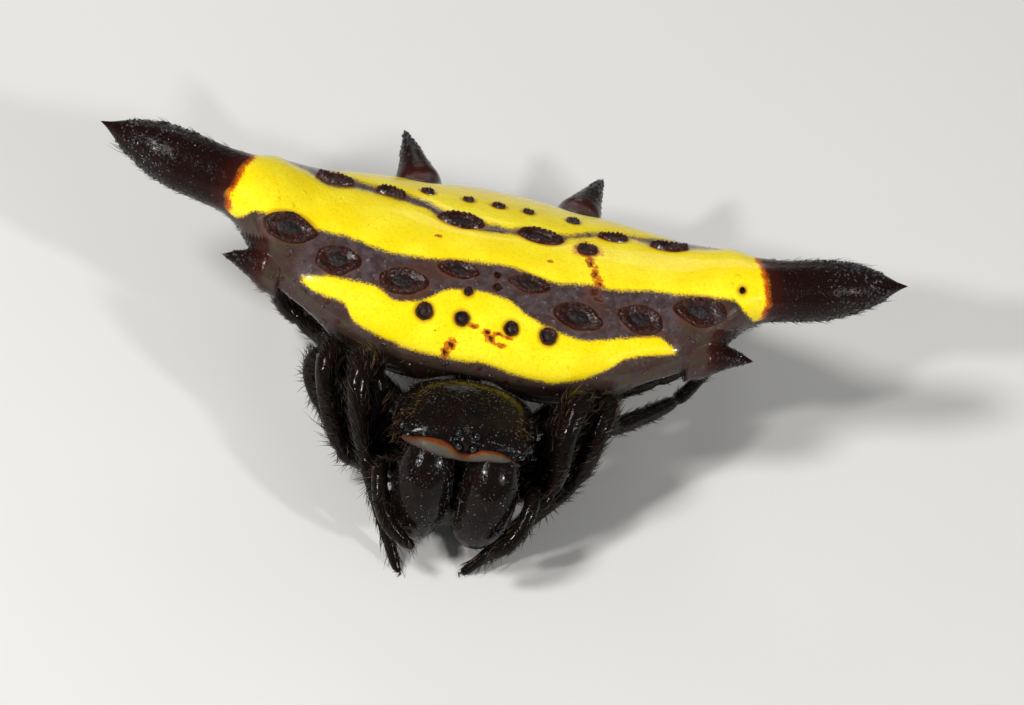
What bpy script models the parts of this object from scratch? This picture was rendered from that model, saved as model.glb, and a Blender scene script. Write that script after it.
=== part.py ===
"""A spiny orb weaver at its real size, standing as it does on a leaf.

The spider faces -Y, so its own right side is at -X and its left side at +X.
Its feet and spinnerets rest on z = 0. Shapes are worked out in millimetres and
each finished mesh is turned to metres. Every node is one closed solid. Nodes
that meet keep a small gap, because the whole animal is only 19 mm wide.
"""

import math
from bisect import bisect_right
from collections import namedtuple

import bmesh
import bpy
from mathutils import Matrix, Vector
from mathutils.bvhtree import BVHTree

MM = 0.001
JOINT_GAP = 0.12
EYE_GAP = 0.05
SIDES = {"right": -1.0, "left": 1.0}

# The abdomen is a wide plate. Each station across it gives the front and back
# edge (y), the height of both edges, of the crown above and the keel below (z),
# and how far the blunt edge drops before it turns under.
AbdomenStation = namedtuple("AbdomenStation", "x front back front_rim back_rim crown keel lip")
ABDOMEN = (
    AbdomenStation(0.0, -2.40, 3.85, 3.35, 2.60, 4.62, 1.15, 0.36),
    AbdomenStation(1.5, -2.32, 3.75, 3.35, 2.62, 4.60, 1.30, 0.44),
    AbdomenStation(3.0, -1.98, 3.35, 3.38, 2.85, 4.65, 2.00, 0.42),
    AbdomenStation(4.2, -1.48, 2.80, 3.48, 3.20, 4.77, 2.75, 0.08),
    AbdomenStation(5.2, -0.85, 2.20, 3.80, 3.75, 5.08, 3.20, 0.0),
    AbdomenStation(6.0, -0.10, 1.60, 4.45, 4.45, 5.30, 3.75, 0.0),
    AbdomenStation(6.4, 0.05, 1.50, 4.65, 4.65, 5.37, 3.93, 0.0),
)
ABDOMEN_STEP = 0.53
ABDOMEN_AROUND = 26
ROUND_FROM_X = 3.0
ROUND_TO_X = 5.6
DORSAL_POWER = 1.2
VENTRAL_POWERS = (1.3, 1.1)
LIP_POWERS = (16.0, 0.5)
SPINNERET_HILL = {"y": 1.3, "height": 0.70, "spread": 0.75}

# The thick spine at each side carries the plate on: x, centre y, centre z, radius.
SIDE_SPINE = (
    (7.2, 0.95, 4.72, 0.72),
    (7.65, 1.03, 4.76, 0.71),
    (8.0, 1.12, 4.80, 0.66),
    (8.35, 1.18, 4.83, 0.59),
    (8.6, 1.25, 4.86, 0.50),
    (8.85, 1.31, 4.885, 0.37),
    (9.0, 1.36, 4.90, 0.27),
    (9.12, 1.40, 4.92, 0.14),
)
SIDE_SPINE_TIP = (9.42, 1.50, 4.96)

# The small spines: base, tip, base radius and how far the middle bows.
SmallSpine = namedtuple("SmallSpine", "base tip radius bow")
SMALL_SPINES = (
    SmallSpine((-5.10, -0.75, 3.65), (-6.12, -0.62, 3.66), 0.42, 0.05),
    SmallSpine((5.10, -0.75, 3.65), (6.22, -0.60, 3.66), 0.42, 0.05),
    SmallSpine((-1.92, 3.58, 3.00), (-2.42, 5.15, 3.12), 0.50, 0.06),
    SmallSpine((1.90, 3.55, 2.98), (2.36, 5.05, 2.94), 0.50, 0.06),
)
SMALL_SPINE_SIDES = 10
SMALL_SPINE_RINGS = ((-0.40, 1.0), (0.0, 0.98), (0.3, 0.66), (0.6, 0.38), (0.85, 0.16))

# The sigilla are oval pits with a raised rim. Each is placed where a line at
# 45 degrees from the front and above meets the back: x, rise, half sizes.
Sigillum = namedtuple("Sigillum", "x rise half_length half_width")
PAIRED_SIGILLA = (
    Sigillum(4.78, 0.00, 0.56, 0.33),
    Sigillum(3.45, -0.63, 0.42, 0.30),
    Sigillum(2.02, -0.94, 0.44, 0.27),
    Sigillum(0.82, -0.24, 0.38, 0.22),
    Sigillum(1.43, -1.75, 0.17, 0.17),
    Sigillum(0.57, -1.75, 0.16, 0.16),
    Sigillum(0.93, 1.32, 0.46, 0.30),
    Sigillum(3.90, 1.84, 0.40, 0.26),
    Sigillum(2.60, 1.78, 0.30, 0.22),
)
SINGLE_SIGILLA = (
    Sigillum(-1.75, 2.05, 0.15, 0.13),
    Sigillum(-0.80, 2.05, 0.13, 0.11),
    Sigillum(-0.10, 2.05, 0.15, 0.12),
    Sigillum(0.60, 2.05, 0.13, 0.11),
    Sigillum(1.65, 2.05, 0.15, 0.13),
)
SIGILLUM_SIDES = 10
SIGILLUM_RINGS = ((1.0, -0.09), (0.84, 0.07), (0.58, 0.02))
SIGILLUM_FLOOR = 0.03
SIGILLUM_ROOT = -0.16
SIGHT_HEIGHT = 4.30

# The carapace, from the face to the waist: y, half width, top z, bottom z.
CARAPACE = (
    (-4.80, 0.70, 3.38, 3.18),
    (-4.72, 1.10, 3.50, 3.12),
    (-4.50, 1.38, 3.60, 3.00),
    (-4.20, 1.52, 3.68, 2.70),
    (-3.85, 1.60, 3.78, 1.95),
    (-3.40, 1.645, 3.80, 1.85),
    (-2.90, 1.58, 3.58, 1.85),
    (-2.45, 1.38, 2.94, 1.85),
    (-2.10, 1.12, 2.50, 1.87),
    (-1.85, 0.80, 2.26, 1.90),
    (-1.72, 0.45, 2.15, 1.93),
)
CARAPACE_AROUND = 22
CARAPACE_STEP = 0.24
CARAPACE_WAIST = 0.35
EYE_MOUND = {"centre": (0.0, -4.66, 3.46), "radii": (0.33, 0.27, 0.26)}
EYES = {
    "anterior_median": {"place": (0.20, -5.00, 3.42), "radius": 0.10},
    "posterior_median": {"place": (0.30, -4.62, 3.75), "radius": 0.10},
    "anterior_lateral": {"place": (1.36, -4.72, 3.16), "radius": 0.09},
    "posterior_lateral": {"place": (1.64, -4.28, 3.24), "radius": 0.09},
}
EYE_SUNK = 0.35

# The plate between the legs: y, half width, top z, bottom z.
STERNUM = (
    (-3.98, 0.22, 1.45, 1.20),
    (-3.70, 0.62, 1.58, 1.06),
    (-3.25, 0.88, 1.64, 1.00),
    (-2.75, 0.84, 1.64, 1.00),
    (-2.30, 0.50, 1.58, 1.06),
    (-2.05, 0.18, 1.45, 1.20),
)
STERNUM_AROUND = 16
STERNUM_STEP = 0.25

PEDICEL_ROUTE = ((0.0, -1.98, 2.08), (0.0, -1.45, 2.16), (0.0, -0.95, 2.55))
PEDICEL_RADIUS = 0.25

# Jaws and feelers on the left side. The right side is mirrored.
CHELICERA_ROUTE = (
    (0.72, -4.30, 3.05),
    (0.74, -4.72, 2.72),
    (0.75, -4.95, 2.20),
    (0.73, -5.00, 1.60),
    (0.65, -4.98, 1.10),
    (0.58, -4.92, 0.80),
)
CHELICERA_RADII = (0.45, 0.60, 0.68, 0.66, 0.55, 0.38)
FANG_ROUTE = ((0.56, -4.82, 0.80), (0.52, -4.70, 0.50), (0.36, -4.56, 0.42), (0.16, -4.48, 0.46))
FANG_RADII = (0.13, 0.13, 0.09, 0.03)
PALP_ROOT = ((0.42, -4.14, 1.30), (0.85, -4.14, 1.33), (1.38, -4.16, 1.52))
PALP_ROUTES = {
    "left": ((1.69, -4.48, 1.95), (1.77, -4.92, 2.18), (1.66, -5.40, 1.82), (1.42, -5.66, 1.45),
             (1.12, -5.78, 1.12)),
    "right": ((1.67, -4.48, 1.95), (1.74, -4.90, 2.15), (1.58, -5.42, 1.75), (1.24, -5.74, 1.34),
              (0.66, -5.86, 0.98)),
}
PALP_RADII = (0.15, 0.16, 0.17, 0.17, 0.18, 0.18, 0.18, 0.09)

# Legs. Coxae leave the sternum in a fan, the same on both sides.
COXA_STARTS = ((0.50, -3.55, 1.30), (0.50, -3.10, 1.30), (0.50, -2.65, 1.30), (0.42, -2.25, 1.30))
HIPS = ((1.90, -3.68, 1.40), (2.12, -3.02, 1.32), (1.96, -2.34, 1.26), (1.48, -1.78, 1.28))
LegPose = namedtuple("LegPose", "number side size thigh knee crest patella tibia metatarsus tip")
LegRing = namedtuple("LegRing", "place centre across up radius")
LEGS = (
    LegPose(1, "right", 1.0, (-2.06, -3.06, 2.42), (-2.24, -2.78, 2.98), (-2.48, -2.74, 3.44),
            (-2.60, -3.42, 3.12), (-2.10, -4.12, 1.85), (-1.30, -5.15, 0.66), (-0.83, -5.77, 0.10)),
    LegPose(2, "right", 1.0, (-2.72, -2.56, 2.10), (-3.00, -2.28, 2.58), (-3.26, -2.24, 3.00),
            (-3.30, -2.87, 2.65), (-2.60, -3.48, 1.18), (-1.95, -3.10, 0.50), (-1.20, -2.98, 0.10)),
    LegPose(3, "right", 0.85, (-2.75, -1.86, 1.62), (-3.20, -1.64, 2.02), (-3.48, -1.62, 2.08),
            (-3.58, -1.72, 1.60), (-3.15, -2.05, 0.90), (-2.55, -2.50, 0.36), (-2.10, -2.75, 0.08)),
    LegPose(4, "right", 0.97, (-2.80, -0.88, 1.60), (-4.00, -0.08, 1.63), (-4.36, 0.30, 1.62),
            (-4.62, 0.86, 1.48), (-5.00, 2.85, 1.10), (-4.75, 4.80, 0.60), (-4.60, 5.55, 0.09)),
    LegPose(1, "left", 1.0, (2.07, -3.06, 2.42), (2.14, -2.78, 3.00), (2.42, -2.74, 3.46),
            (2.28, -3.45, 3.05), (2.17, -4.14, 1.80), (1.28, -5.00, 0.75), (0.60, -5.42, 0.11)),
    LegPose(2, "left", 1.0, (2.70, -2.54, 2.12), (2.88, -2.28, 2.62), (3.10, -2.30, 3.06),
            (2.98, -2.98, 2.72), (2.72, -3.44, 1.60), (1.54, -4.42, 0.52), (0.84, -5.16, 0.10)),
    LegPose(3, "left", 0.85, (2.62, -2.02, 1.52), (2.95, -1.82, 1.78), (3.25, -1.64, 1.78),
            (3.60, -1.35, 1.55), (4.85, 0.20, 1.12), (5.45, 1.25, 1.12), (5.90, 2.05, 1.02)),
    LegPose(4, "left", 0.97, (2.90, -0.74, 1.72), (4.25, 0.15, 1.80), (4.62, 0.56, 1.80),
            (4.95, 1.12, 1.66), (5.45, 3.10, 1.30), (5.78, 5.20, 1.05), (5.86, 5.90, 0.09)),
)
LEG_GIRTH = (0.19, 0.27, 0.32, 0.25, 0.30, 0.24, 0.19, 0.15, 0.10)
LEG_SWELL = ((2.5, 0.30), (5.5, 0.24), (6.5, 0.18))
LEG_KNEE = 3
LEG_ANKLE = 6
LEG_SIDES = 8
LEG_RINGS_PER_SPAN = 4
LEG_FOLD = 4
FOLD_ROOM = 0.5
FOLD_BALL = 0.92
SHARP_FOLD = math.radians(60.0)
FOOT_DIP = 0.16

SPINNERET_RING = ((0.52, 0.62), (0.56, 0.36), (0.48, 0.24))
SPINNERET_CONE = {"spread": 0.24, "length": 0.34, "radius": 0.135, "tip_radius": 0.08}
SPINNERET_COUNT = 6

COLOURS = {
    "abdomen": ((0.82, 0.60, 0.02), 0.28),
    "cuticle": ((0.020, 0.010, 0.008), 0.22),
    "legs": ((0.022, 0.014, 0.010), 0.30),
    "underside": ((0.030, 0.018, 0.012), 0.38),
    "eyes": ((0.010, 0.009, 0.009), 0.06),
    "fangs": ((0.060, 0.020, 0.010), 0.15),
}


def clear_scene():
    """Remove every object that the file starts with."""
    for item in list(bpy.data.objects):
        bpy.data.objects.remove(item, do_unlink=True)


def curve_slopes(places, values, flat_start):
    """Slopes of a curve through the values that doesn't overshoot them."""
    steps = [
        (after - before) / (end - start)
        for start, end, before, after in zip(places, places[1:], values, values[1:])
    ]
    inner = [0.0 if a * b <= 0.0 else 2.0 * a * b / (a + b) for a, b in zip(steps, steps[1:])]
    first = 0.0 if flat_start else steps[0]
    return [first, *inner, steps[-1]]


def read_table(table, place, flat_start=False):
    """Values of a table's columns at one place along its first column."""
    places = [row[0] for row in table]
    index = min(max(bisect_right(places, place) - 1, 0), len(places) - 2)
    width = places[index + 1] - places[index]
    t = (place - places[index]) / width
    readings = []
    for column in range(1, len(table[0])):
        values = [row[column] for row in table]
        slopes = curve_slopes(places, values, flat_start)
        readings.append(
            (2 * t ** 3 - 3 * t ** 2 + 1) * values[index]
            + (t ** 3 - 2 * t ** 2 + t) * width * slopes[index]
            + (3 * t ** 2 - 2 * t ** 3) * values[index + 1]
            + (t ** 3 - t ** 2) * width * slopes[index + 1]
        )
    return readings


def smooth_step(value, low, high):
    """Rise smoothly from 0 to 1 between two values."""
    t = min(max((value - low) / (high - low), 0.0), 1.0)
    return t * t * (3.0 - 2.0 * t)


def mix(first, second, amount):
    return first + (second - first) * amount


def even_steps(start, end, step):
    """Evenly spaced values from start to end, about a step apart."""
    count = max(1, round(abs(end - start) / step))
    return [mix(start, end, index / count) for index in range(count + 1)]


def object_from(name, shape):
    """Turn a bmesh into an object with its faces pointing out."""
    bmesh.ops.recalc_face_normals(shape, faces=shape.faces)
    mesh = bpy.data.meshes.new(name)
    shape.to_mesh(mesh)
    shape.free()
    item = bpy.data.objects.new(name, mesh)
    bpy.context.scene.collection.objects.link(item)
    return item


def loft(name, rings, first_tip=None, last_tip=None):
    """Skin a row of rings into one closed solid, ended by flat caps or points."""
    shape = bmesh.new()
    loops = [[shape.verts.new(point) for point in ring] for ring in rings]
    for near, far in zip(loops, loops[1:]):
        for index in range(len(near)):
            following = (index + 1) % len(near)
            shape.faces.new((near[index], near[following], far[following], far[index]))
    for loop, tip in ((loops[0], first_tip), (loops[-1], last_tip)):
        if tip is None:
            shape.faces.new(loop)
            continue
        point = shape.verts.new(tip)
        for index in range(len(loop)):
            shape.faces.new((loop[index], loop[(index + 1) % len(loop)], point))
    return object_from(name, shape)


def ellipsoid(name, centre, radii, fineness=2):
    """A ball made of near-even triangles, stretched to three radii."""
    shape = bmesh.new()
    bmesh.ops.create_icosphere(shape, subdivisions=fineness, radius=1.0)
    bmesh.ops.scale(shape, vec=Vector(radii), verts=shape.verts)
    bmesh.ops.translate(shape, vec=Vector(centre), verts=shape.verts)
    return object_from(name, shape)


def keep_largest(item):
    """Drop all but the largest closed surface of a mesh."""
    shape = bmesh.new()
    shape.from_mesh(item.data)
    unseen = set(shape.faces)
    islands = []
    while unseen:
        front = [unseen.pop()]
        island = list(front)
        while front:
            face = front.pop()
            for edge in face.edges:
                for neighbour in edge.link_faces:
                    if neighbour in unseen:
                        unseen.remove(neighbour)
                        front.append(neighbour)
                        island.append(neighbour)
        islands.append(island)
    islands.sort(key=lambda faces: sum(face.calc_area() for face in faces))
    scraps = [face for island in islands[:-1] for face in island]
    bmesh.ops.delete(shape, geom=scraps, context="FACES")
    shape.to_mesh(item.data)
    shape.free()


def remove(items):
    for item in items:
        bpy.data.objects.remove(item, do_unlink=True)


def combine(item, operation, others):
    """Join other solids to one, or cut them from it."""
    group = bpy.data.collections.new("combined")
    for other in others:
        group.objects.link(other)
    modifier = item.modifiers.new(operation, "BOOLEAN")
    modifier.operation = operation
    modifier.operand_type = "COLLECTION"
    modifier.collection = group
    modifier.solver = "EXACT"
    view = bpy.context.evaluated_depsgraph_get()
    result = bpy.data.meshes.new_from_object(item.evaluated_get(view))
    item.modifiers.remove(modifier)
    item.data = result
    bpy.data.collections.remove(group)
    keep_largest(item)


def room_around(item, distance=JOINT_GAP):
    """A guide: a copy of a solid with its surface moved out, for cutting a gap."""
    shape = bmesh.new()
    shape.from_mesh(item.data)
    shape.normal_update()
    for vertex in shape.verts:
        vertex.co += vertex.normal * distance
    return object_from(item.name + "_room", shape)


def cut_flat_at_floor(item):
    """Cut off what dips below the floor and close the cut with a small flat."""
    shape = bmesh.new()
    shape.from_mesh(item.data)
    everything = [*shape.verts, *shape.edges, *shape.faces]
    bmesh.ops.bisect_plane(
        shape, geom=everything, plane_co=(0, 0, 0), plane_no=(0, 0, -1), clear_outer=True
    )
    rim = [edge for edge in shape.edges if edge.is_boundary]
    bmesh.ops.holes_fill(shape, edges=rim)
    bmesh.ops.recalc_face_normals(shape, faces=shape.faces)
    shape.to_mesh(item.data)
    shape.free()


def surface_of(item):
    """A searchable copy of an object's surface."""
    shape = bmesh.new()
    shape.from_mesh(item.data)
    tree = BVHTree.FromBMesh(shape)
    shape.free()
    return tree


def smooth_route(points, per_span):
    """Points and places on a smooth curve through the given points."""
    corners = [Vector(point) for point in points]
    ends = [2 * corners[0] - corners[1], *corners, 2 * corners[-1] - corners[-2]]
    route = []
    for span in range(len(corners) - 1):
        before, start, end, after = ends[span:span + 4]
        for index in range(per_span):
            t = index / per_span
            point = 0.5 * (
                2 * start
                + (end - before) * t
                + (2 * before - 5 * start + 4 * end - after) * t ** 2
                + (3 * start - before - 3 * end + after) * t ** 3
            )
            route.append((span + t, point))
    route.append((len(corners) - 1.0, corners[-1]))
    return route


def carried_frames(points):
    """Two cross directions at each point, carried along without twisting."""
    forward = [
        (points[min(i + 1, len(points) - 1)] - points[max(i - 1, 0)]).normalized()
        for i in range(len(points))
    ]
    side = forward[0].cross(Vector((0.1, 0.2, 1.0))).normalized()
    frames = []
    for direction in forward:
        side = (side - direction * side.dot(direction)).normalized()
        frames.append((direction, side, direction.cross(side)))
    return frames


def ring_around(centre, side, up, radius, count):
    """Points of a round ring in the plane of two directions."""
    turns = (2.0 * math.pi * index / count for index in range(count))
    return [centre + side * (radius * math.cos(turn)) + up * (radius * math.sin(turn)) for turn in turns]


def tube(name, points, radii, sides, per_span=3):
    """A round limb along a smooth route, with a radius named at each point."""
    route = smooth_route(points, per_span)
    table = [(float(index), radius) for index, radius in enumerate(radii)]
    centres = [point for _, point in route]
    rings = []
    for (place, centre), (_, side, up) in zip(route, carried_frames(centres)):
        radius = read_table(table, place)[0]
        rings.append(ring_around(centre, side, up, radius, sides))
    return loft(name, rings)


def abdomen_station(distance):
    """Front, back, heights, lip and roundness at a distance from the middle."""
    edge = ABDOMEN[-1].x
    table = [*ABDOMEN]
    for x, centre, height, radius in SIDE_SPINE:
        low, high = height - radius, height + radius
        table.append((x, centre - radius, centre + radius, height, height, high, low, 0.0))
    values = read_table(table, distance, flat_start=True)
    roundness = 1.0 if distance >= edge else smooth_step(distance, ROUND_FROM_X, ROUND_TO_X)
    return (*values, roundness)


def abdomen_ring(x):
    """One cross section of the abdomen, from its front rim over the crown."""
    front, back, front_rim, back_rim, crown, keel, lip, roundness = abdomen_station(abs(x))
    middle = 0.5 * (front + back)
    reach = 0.5 * (back - front)
    rim_middle = 0.5 * (front_rim + back_rim)
    hill = SPINNERET_HILL
    ring = []
    for index in range(ABDOMEN_AROUND):
        turn = 2.0 * math.pi * index / ABDOMEN_AROUND
        across = -math.cos(turn)
        lift = abs(math.sin(turn))
        y = middle + reach * across
        rim = mix(front_rim, back_rim, 0.5 * (across + 1.0))
        if turn < math.pi:
            swell = mix(lift ** DORSAL_POWER, lift, roundness)
            z = rim + (crown - rim_middle) * swell
        else:
            inner, outer = VENTRAL_POWERS
            blunt, edge_power = LIP_POWERS
            swell = mix((1.0 - abs(across) ** inner) ** outer, lift, roundness)
            edge = (1.0 - abs(across) ** blunt) ** edge_power
            away = (x * x + (y - hill["y"]) ** 2) / (2.0 * hill["spread"] ** 2)
            z = rim - lip * edge - (rim_middle - keel - lip) * swell
            z -= hill["height"] * math.exp(-away) * swell
        ring.append(Vector((x, y, z)))
    return ring


def make_small_spine(spine):
    """A short spine, bowed a little, with its root sunk in the abdomen."""
    base = Vector(spine.base)
    tip = Vector(spine.tip)
    run = tip - base
    forward = run.normalized()
    across = forward.cross(Vector((0, 0, 1))).normalized()
    up = across.cross(forward)
    rings = []
    for place, share in SMALL_SPINE_RINGS:
        bow = up * spine.bow * (1.0 - (2.0 * place - 1.0) ** 2)
        centre = base + run * place + bow
        rings.append(ring_around(centre, across, up, spine.radius * share, SMALL_SPINE_SIDES))
    return loft("small_spine", rings, last_tip=tip)


def make_sigillum(surface, mark):
    """An oval rim that follows the abdomen's surface, with a shallow floor."""
    sight = Vector((0, 1, -1)).normalized()
    far = 12.0
    target = Vector((mark.x, 0.0, SIGHT_HEIGHT + mark.rise))
    centre, normal, _, _ = surface.ray_cast(target - sight * far, sight)
    along = (Vector((1, 0, 0)) - normal * normal.x).normalized()
    across = normal.cross(along)
    rings = []
    for share, height in SIGILLUM_RINGS:
        ring = []
        for index in range(SIGILLUM_SIDES):
            turn = 2.0 * math.pi * index / SIGILLUM_SIDES
            aim = centre + along * (mark.half_length * share * math.cos(turn))
            aim += across * (mark.half_width * share * math.sin(turn))
            point, local_normal, _, _ = surface.find_nearest(aim)
            ring.append(point + local_normal * height)
        rings.append(ring)
    root = centre + normal * SIGILLUM_ROOT
    floor = centre + normal * SIGILLUM_FLOOR
    return loft("sigillum", rings, first_tip=root, last_tip=floor)


def make_abdomen():
    """The wide plate with six spines and its sigilla, joined in one solid."""
    reach = SIDE_SPINE[-1][0]
    flat_part = ABDOMEN[-1].x
    inner = even_steps(0.0, flat_part, ABDOMEN_STEP)
    outer = [row[0] for row in SIDE_SPINE]
    half = inner + [0.5 * (flat_part + outer[0])] + outer
    places = [-x for x in reversed(half)] + half[1:]
    tip = Vector(SIDE_SPINE_TIP)
    mirrored = Vector((-tip.x, tip.y, tip.z))
    rings = [abdomen_ring(min(max(x, -reach), reach)) for x in places]
    abdomen = loft("abdomen", rings, first_tip=mirrored, last_tip=tip)
    surface = surface_of(abdomen)
    mirrored_marks = [mark._replace(x=-mark.x) for mark in PAIRED_SIGILLA]
    growths = [make_small_spine(spine) for spine in SMALL_SPINES]
    for mark in (*PAIRED_SIGILLA, *mirrored_marks, *SINGLE_SIGILLA):
        growths.append(make_sigillum(surface, mark))
    room = room_around(abdomen)
    combine(abdomen, "UNION", growths)
    remove(growths)
    return abdomen, room


def shell(name, table, around, step, waist, top_power, bottom_power):
    """A shield lofted along y from rows of half width, top and bottom."""
    rings = []
    for y in even_steps(table[0][0], table[-1][0], step):
        half_width, top, bottom = read_table(table, y)
        level = mix(bottom, top, waist)
        ring = []
        for index in range(around):
            turn = 2.0 * math.pi * (index + 0.5) / around
            lift = abs(math.sin(turn))
            if turn < math.pi:
                z = level + (top - level) * lift ** top_power
            else:
                z = level - (level - bottom) * lift ** bottom_power
            ring.append(Vector((half_width * math.cos(turn), y, z)))
        rings.append(ring)
    return loft(name, rings)


def make_head_and_eyes():
    """The carapace, with a mound for the four middle eyes and eight eyes in it."""
    carapace = shell("carapace", CARAPACE, CARAPACE_AROUND, CARAPACE_STEP, CARAPACE_WAIST, 0.9, 0.5)
    mound = ellipsoid("mound", EYE_MOUND["centre"], EYE_MOUND["radii"])
    combine(carapace, "UNION", [mound])
    surface = surface_of(carapace)
    room = room_around(carapace)
    eyes = []
    sockets = []
    for side_name, side in SIDES.items():
        for eye_name, eye in EYES.items():
            place = Vector(eye["place"])
            place.x *= side
            point, normal, _, _ = surface.find_nearest(place)
            radius = eye["radius"]
            centre = point - normal * (radius * EYE_SUNK)
            eyes.append(ellipsoid(f"eye_{eye_name}_{side_name}", centre, (radius,) * 3))
            sockets.append(ellipsoid("socket", centre, (radius + EYE_GAP,) * 3))
    combine(carapace, "DIFFERENCE", sockets)
    remove([mound, *sockets])
    return carapace, room, eyes


def make_sternum():
    """The plate under the body that the legs stand around."""
    return shell("sternum", STERNUM, STERNUM_AROUND, STERNUM_STEP, 0.5, 0.6, 0.6)


def mirrored(points, side):
    return [Vector((x * side, y, z)) for x, y, z in points]


def make_jaws(carapace_room):
    """Two swollen chelicerae below the face, each with a curved fang."""
    jaws = []
    for side_name, side in SIDES.items():
        chelicera = tube(f"chelicera_{side_name}", mirrored(CHELICERA_ROUTE, side), CHELICERA_RADII, 12)
        combine(chelicera, "DIFFERENCE", [carapace_room])
        room = room_around(chelicera)
        fang = tube(f"fang_{side_name}", mirrored(FANG_ROUTE, side), FANG_RADII, 8)
        combine(fang, "DIFFERENCE", [room])
        remove([room])
        jaws += [chelicera, fang]
    return jaws


def make_palps():
    """The two short feelers beside the jaws, bent in front of them."""
    palps = []
    for side_name, side in SIDES.items():
        route = mirrored(PALP_ROOT + PALP_ROUTES[side_name], side)
        palps.append(tube(f"palp_{side_name}", route, PALP_RADII, LEG_SIDES))
    return palps


def make_pedicel(carapace_room, abdomen_room):
    """The narrow waist between the carapace and the abdomen."""
    pedicel = tube("pedicel", PEDICEL_ROUTE, (PEDICEL_RADIUS,) * 3, 10)
    combine(pedicel, "DIFFERENCE", [carapace_room, abdomen_room])
    return pedicel


def make_spinnerets(abdomen_room):
    """A low ring below the abdomen with six short cones that touch the floor."""
    middle = Vector((0.0, SPINNERET_HILL["y"], 0.0))
    rings = []
    for radius, height in SPINNERET_RING:
        centre = middle + Vector((0, 0, height))
        rings.append(ring_around(centre, Vector((1, 0, 0)), Vector((0, 1, 0)), radius, 16))
    base = loft("spinnerets", rings)
    cones = []
    for index in range(SPINNERET_COUNT):
        turn = 2.0 * math.pi * (index + 0.5) / SPINNERET_COUNT
        outward = Vector((math.cos(turn), math.sin(turn), 0.0)) * SPINNERET_CONE["spread"]
        top = middle + outward + Vector((0, 0, SPINNERET_CONE["length"]))
        radii = (SPINNERET_CONE["radius"], SPINNERET_CONE["tip_radius"])
        foot = middle + outward * 0.85
        cones.append(loft("cone", [
            ring_around(top, Vector((1, 0, 0)), Vector((0, 1, 0)), radii[0], 8),
            ring_around(foot, Vector((1, 0, 0)), Vector((0, 1, 0)), radii[1], 8),
        ]))
    combine(base, "UNION", cones)
    combine(base, "DIFFERENCE", [abdomen_room])
    remove(cones)
    return base


def limb(name, rings):
    """A limb lofted through its rings."""
    return loft(name, [ring_around(r.centre, r.across, r.up, r.radius, LEG_SIDES) for r in rings])


def turn_at(before, corner, after):
    """How far a route turns at a corner."""
    return (Vector(corner) - Vector(before)).angle(Vector(after) - Vector(corner))


def folded_limb(name, rings, fold, radius):
    """A limb with a sharp fold in it: a tube on either side and a ball in the fold, fused."""
    first = [ring for ring in rings if ring.place <= LEG_FOLD - FOLD_ROOM]
    second = [ring for ring in rings if ring.place >= LEG_FOLD + FOLD_ROOM]
    first.append(first[-1]._replace(centre=fold, radius=radius))
    second.insert(0, second[0]._replace(centre=fold, radius=radius))
    folded = limb(name, first)
    ball = FOLD_BALL * radius
    others = [limb("shin", second), ellipsoid("fold", fold, (ball, ball, ball))]
    combine(folded, "UNION", others)
    remove(others)
    return folded


def leg_pieces(pose, sternum_room):
    """One leg as three solids: femur with hip, tibia with knee, and foot."""
    side = SIDES[pose.side]
    start, hip = mirrored((COXA_STARTS[pose.number - 1], HIPS[pose.number - 1]), side)
    tip = Vector(pose.tip)
    on_floor = tip.z < FOOT_DIP
    toe = tip - Vector((0, 0, FOOT_DIP if on_floor else 0.0))
    corners = (start, hip, pose.thigh, pose.knee, pose.crest, pose.patella, pose.tibia, pose.metatarsus, toe)
    route = smooth_route(corners, LEG_RINGS_PER_SPAN)
    table = sorted([*enumerate(LEG_GIRTH), *LEG_SWELL])
    frames = carried_frames([point for _, point in route])
    stretches = {"femur": (0, LEG_KNEE), "tibia": (LEG_KNEE, LEG_ANKLE), "foot": (LEG_ANKLE, 99)}
    pieces = []
    for part, (first, last) in stretches.items():
        rings = []
        for (place, centre), (forward, across, up) in zip(route, frames):
            if not first <= place <= last:
                continue
            inset = 0.5 * JOINT_GAP * ((place == first and first > 0) - (place == last))
            radius = read_table(table, place)[0] * pose.size
            rings.append(LegRing(place, centre + forward * inset, across, up, radius))
        name = f"leg_{pose.number}_{pose.side}_{part}"
        if part == "tibia" and turn_at(pose.knee, pose.crest, pose.patella) > SHARP_FOLD:
            piece = folded_limb(name, rings, Vector(pose.crest), LEG_GIRTH[LEG_FOLD] * pose.size)
        else:
            piece = limb(name, rings)
        if part == "femur":
            combine(piece, "DIFFERENCE", [sternum_room])
        if part == "foot" and on_floor:
            cut_flat_at_floor(piece)
        pieces.append(piece)
    return pieces


def give_material(item, look):
    """Give an object a plain material of its own in the animal's colour."""
    colour, roughness = COLOURS[look]
    material = bpy.data.materials.new(item.name)
    material.use_nodes = True
    shader = material.node_tree.nodes["Principled BSDF"]
    shader.inputs["Base Color"].default_value = (*colour, 1.0)
    shader.inputs["Roughness"].default_value = roughness
    shader.inputs["Metallic"].default_value = 0.0
    item.data.materials.clear()
    item.data.materials.append(material)


def bounds(items):
    """Lowest and highest corner of several objects, in their mesh units."""
    points = [vertex.co for item in items for vertex in item.data.vertices]
    low = Vector([min(point[axis] for point in points) for axis in range(3)])
    high = Vector([max(point[axis] for point in points) for axis in range(3)])
    return low, high


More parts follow.
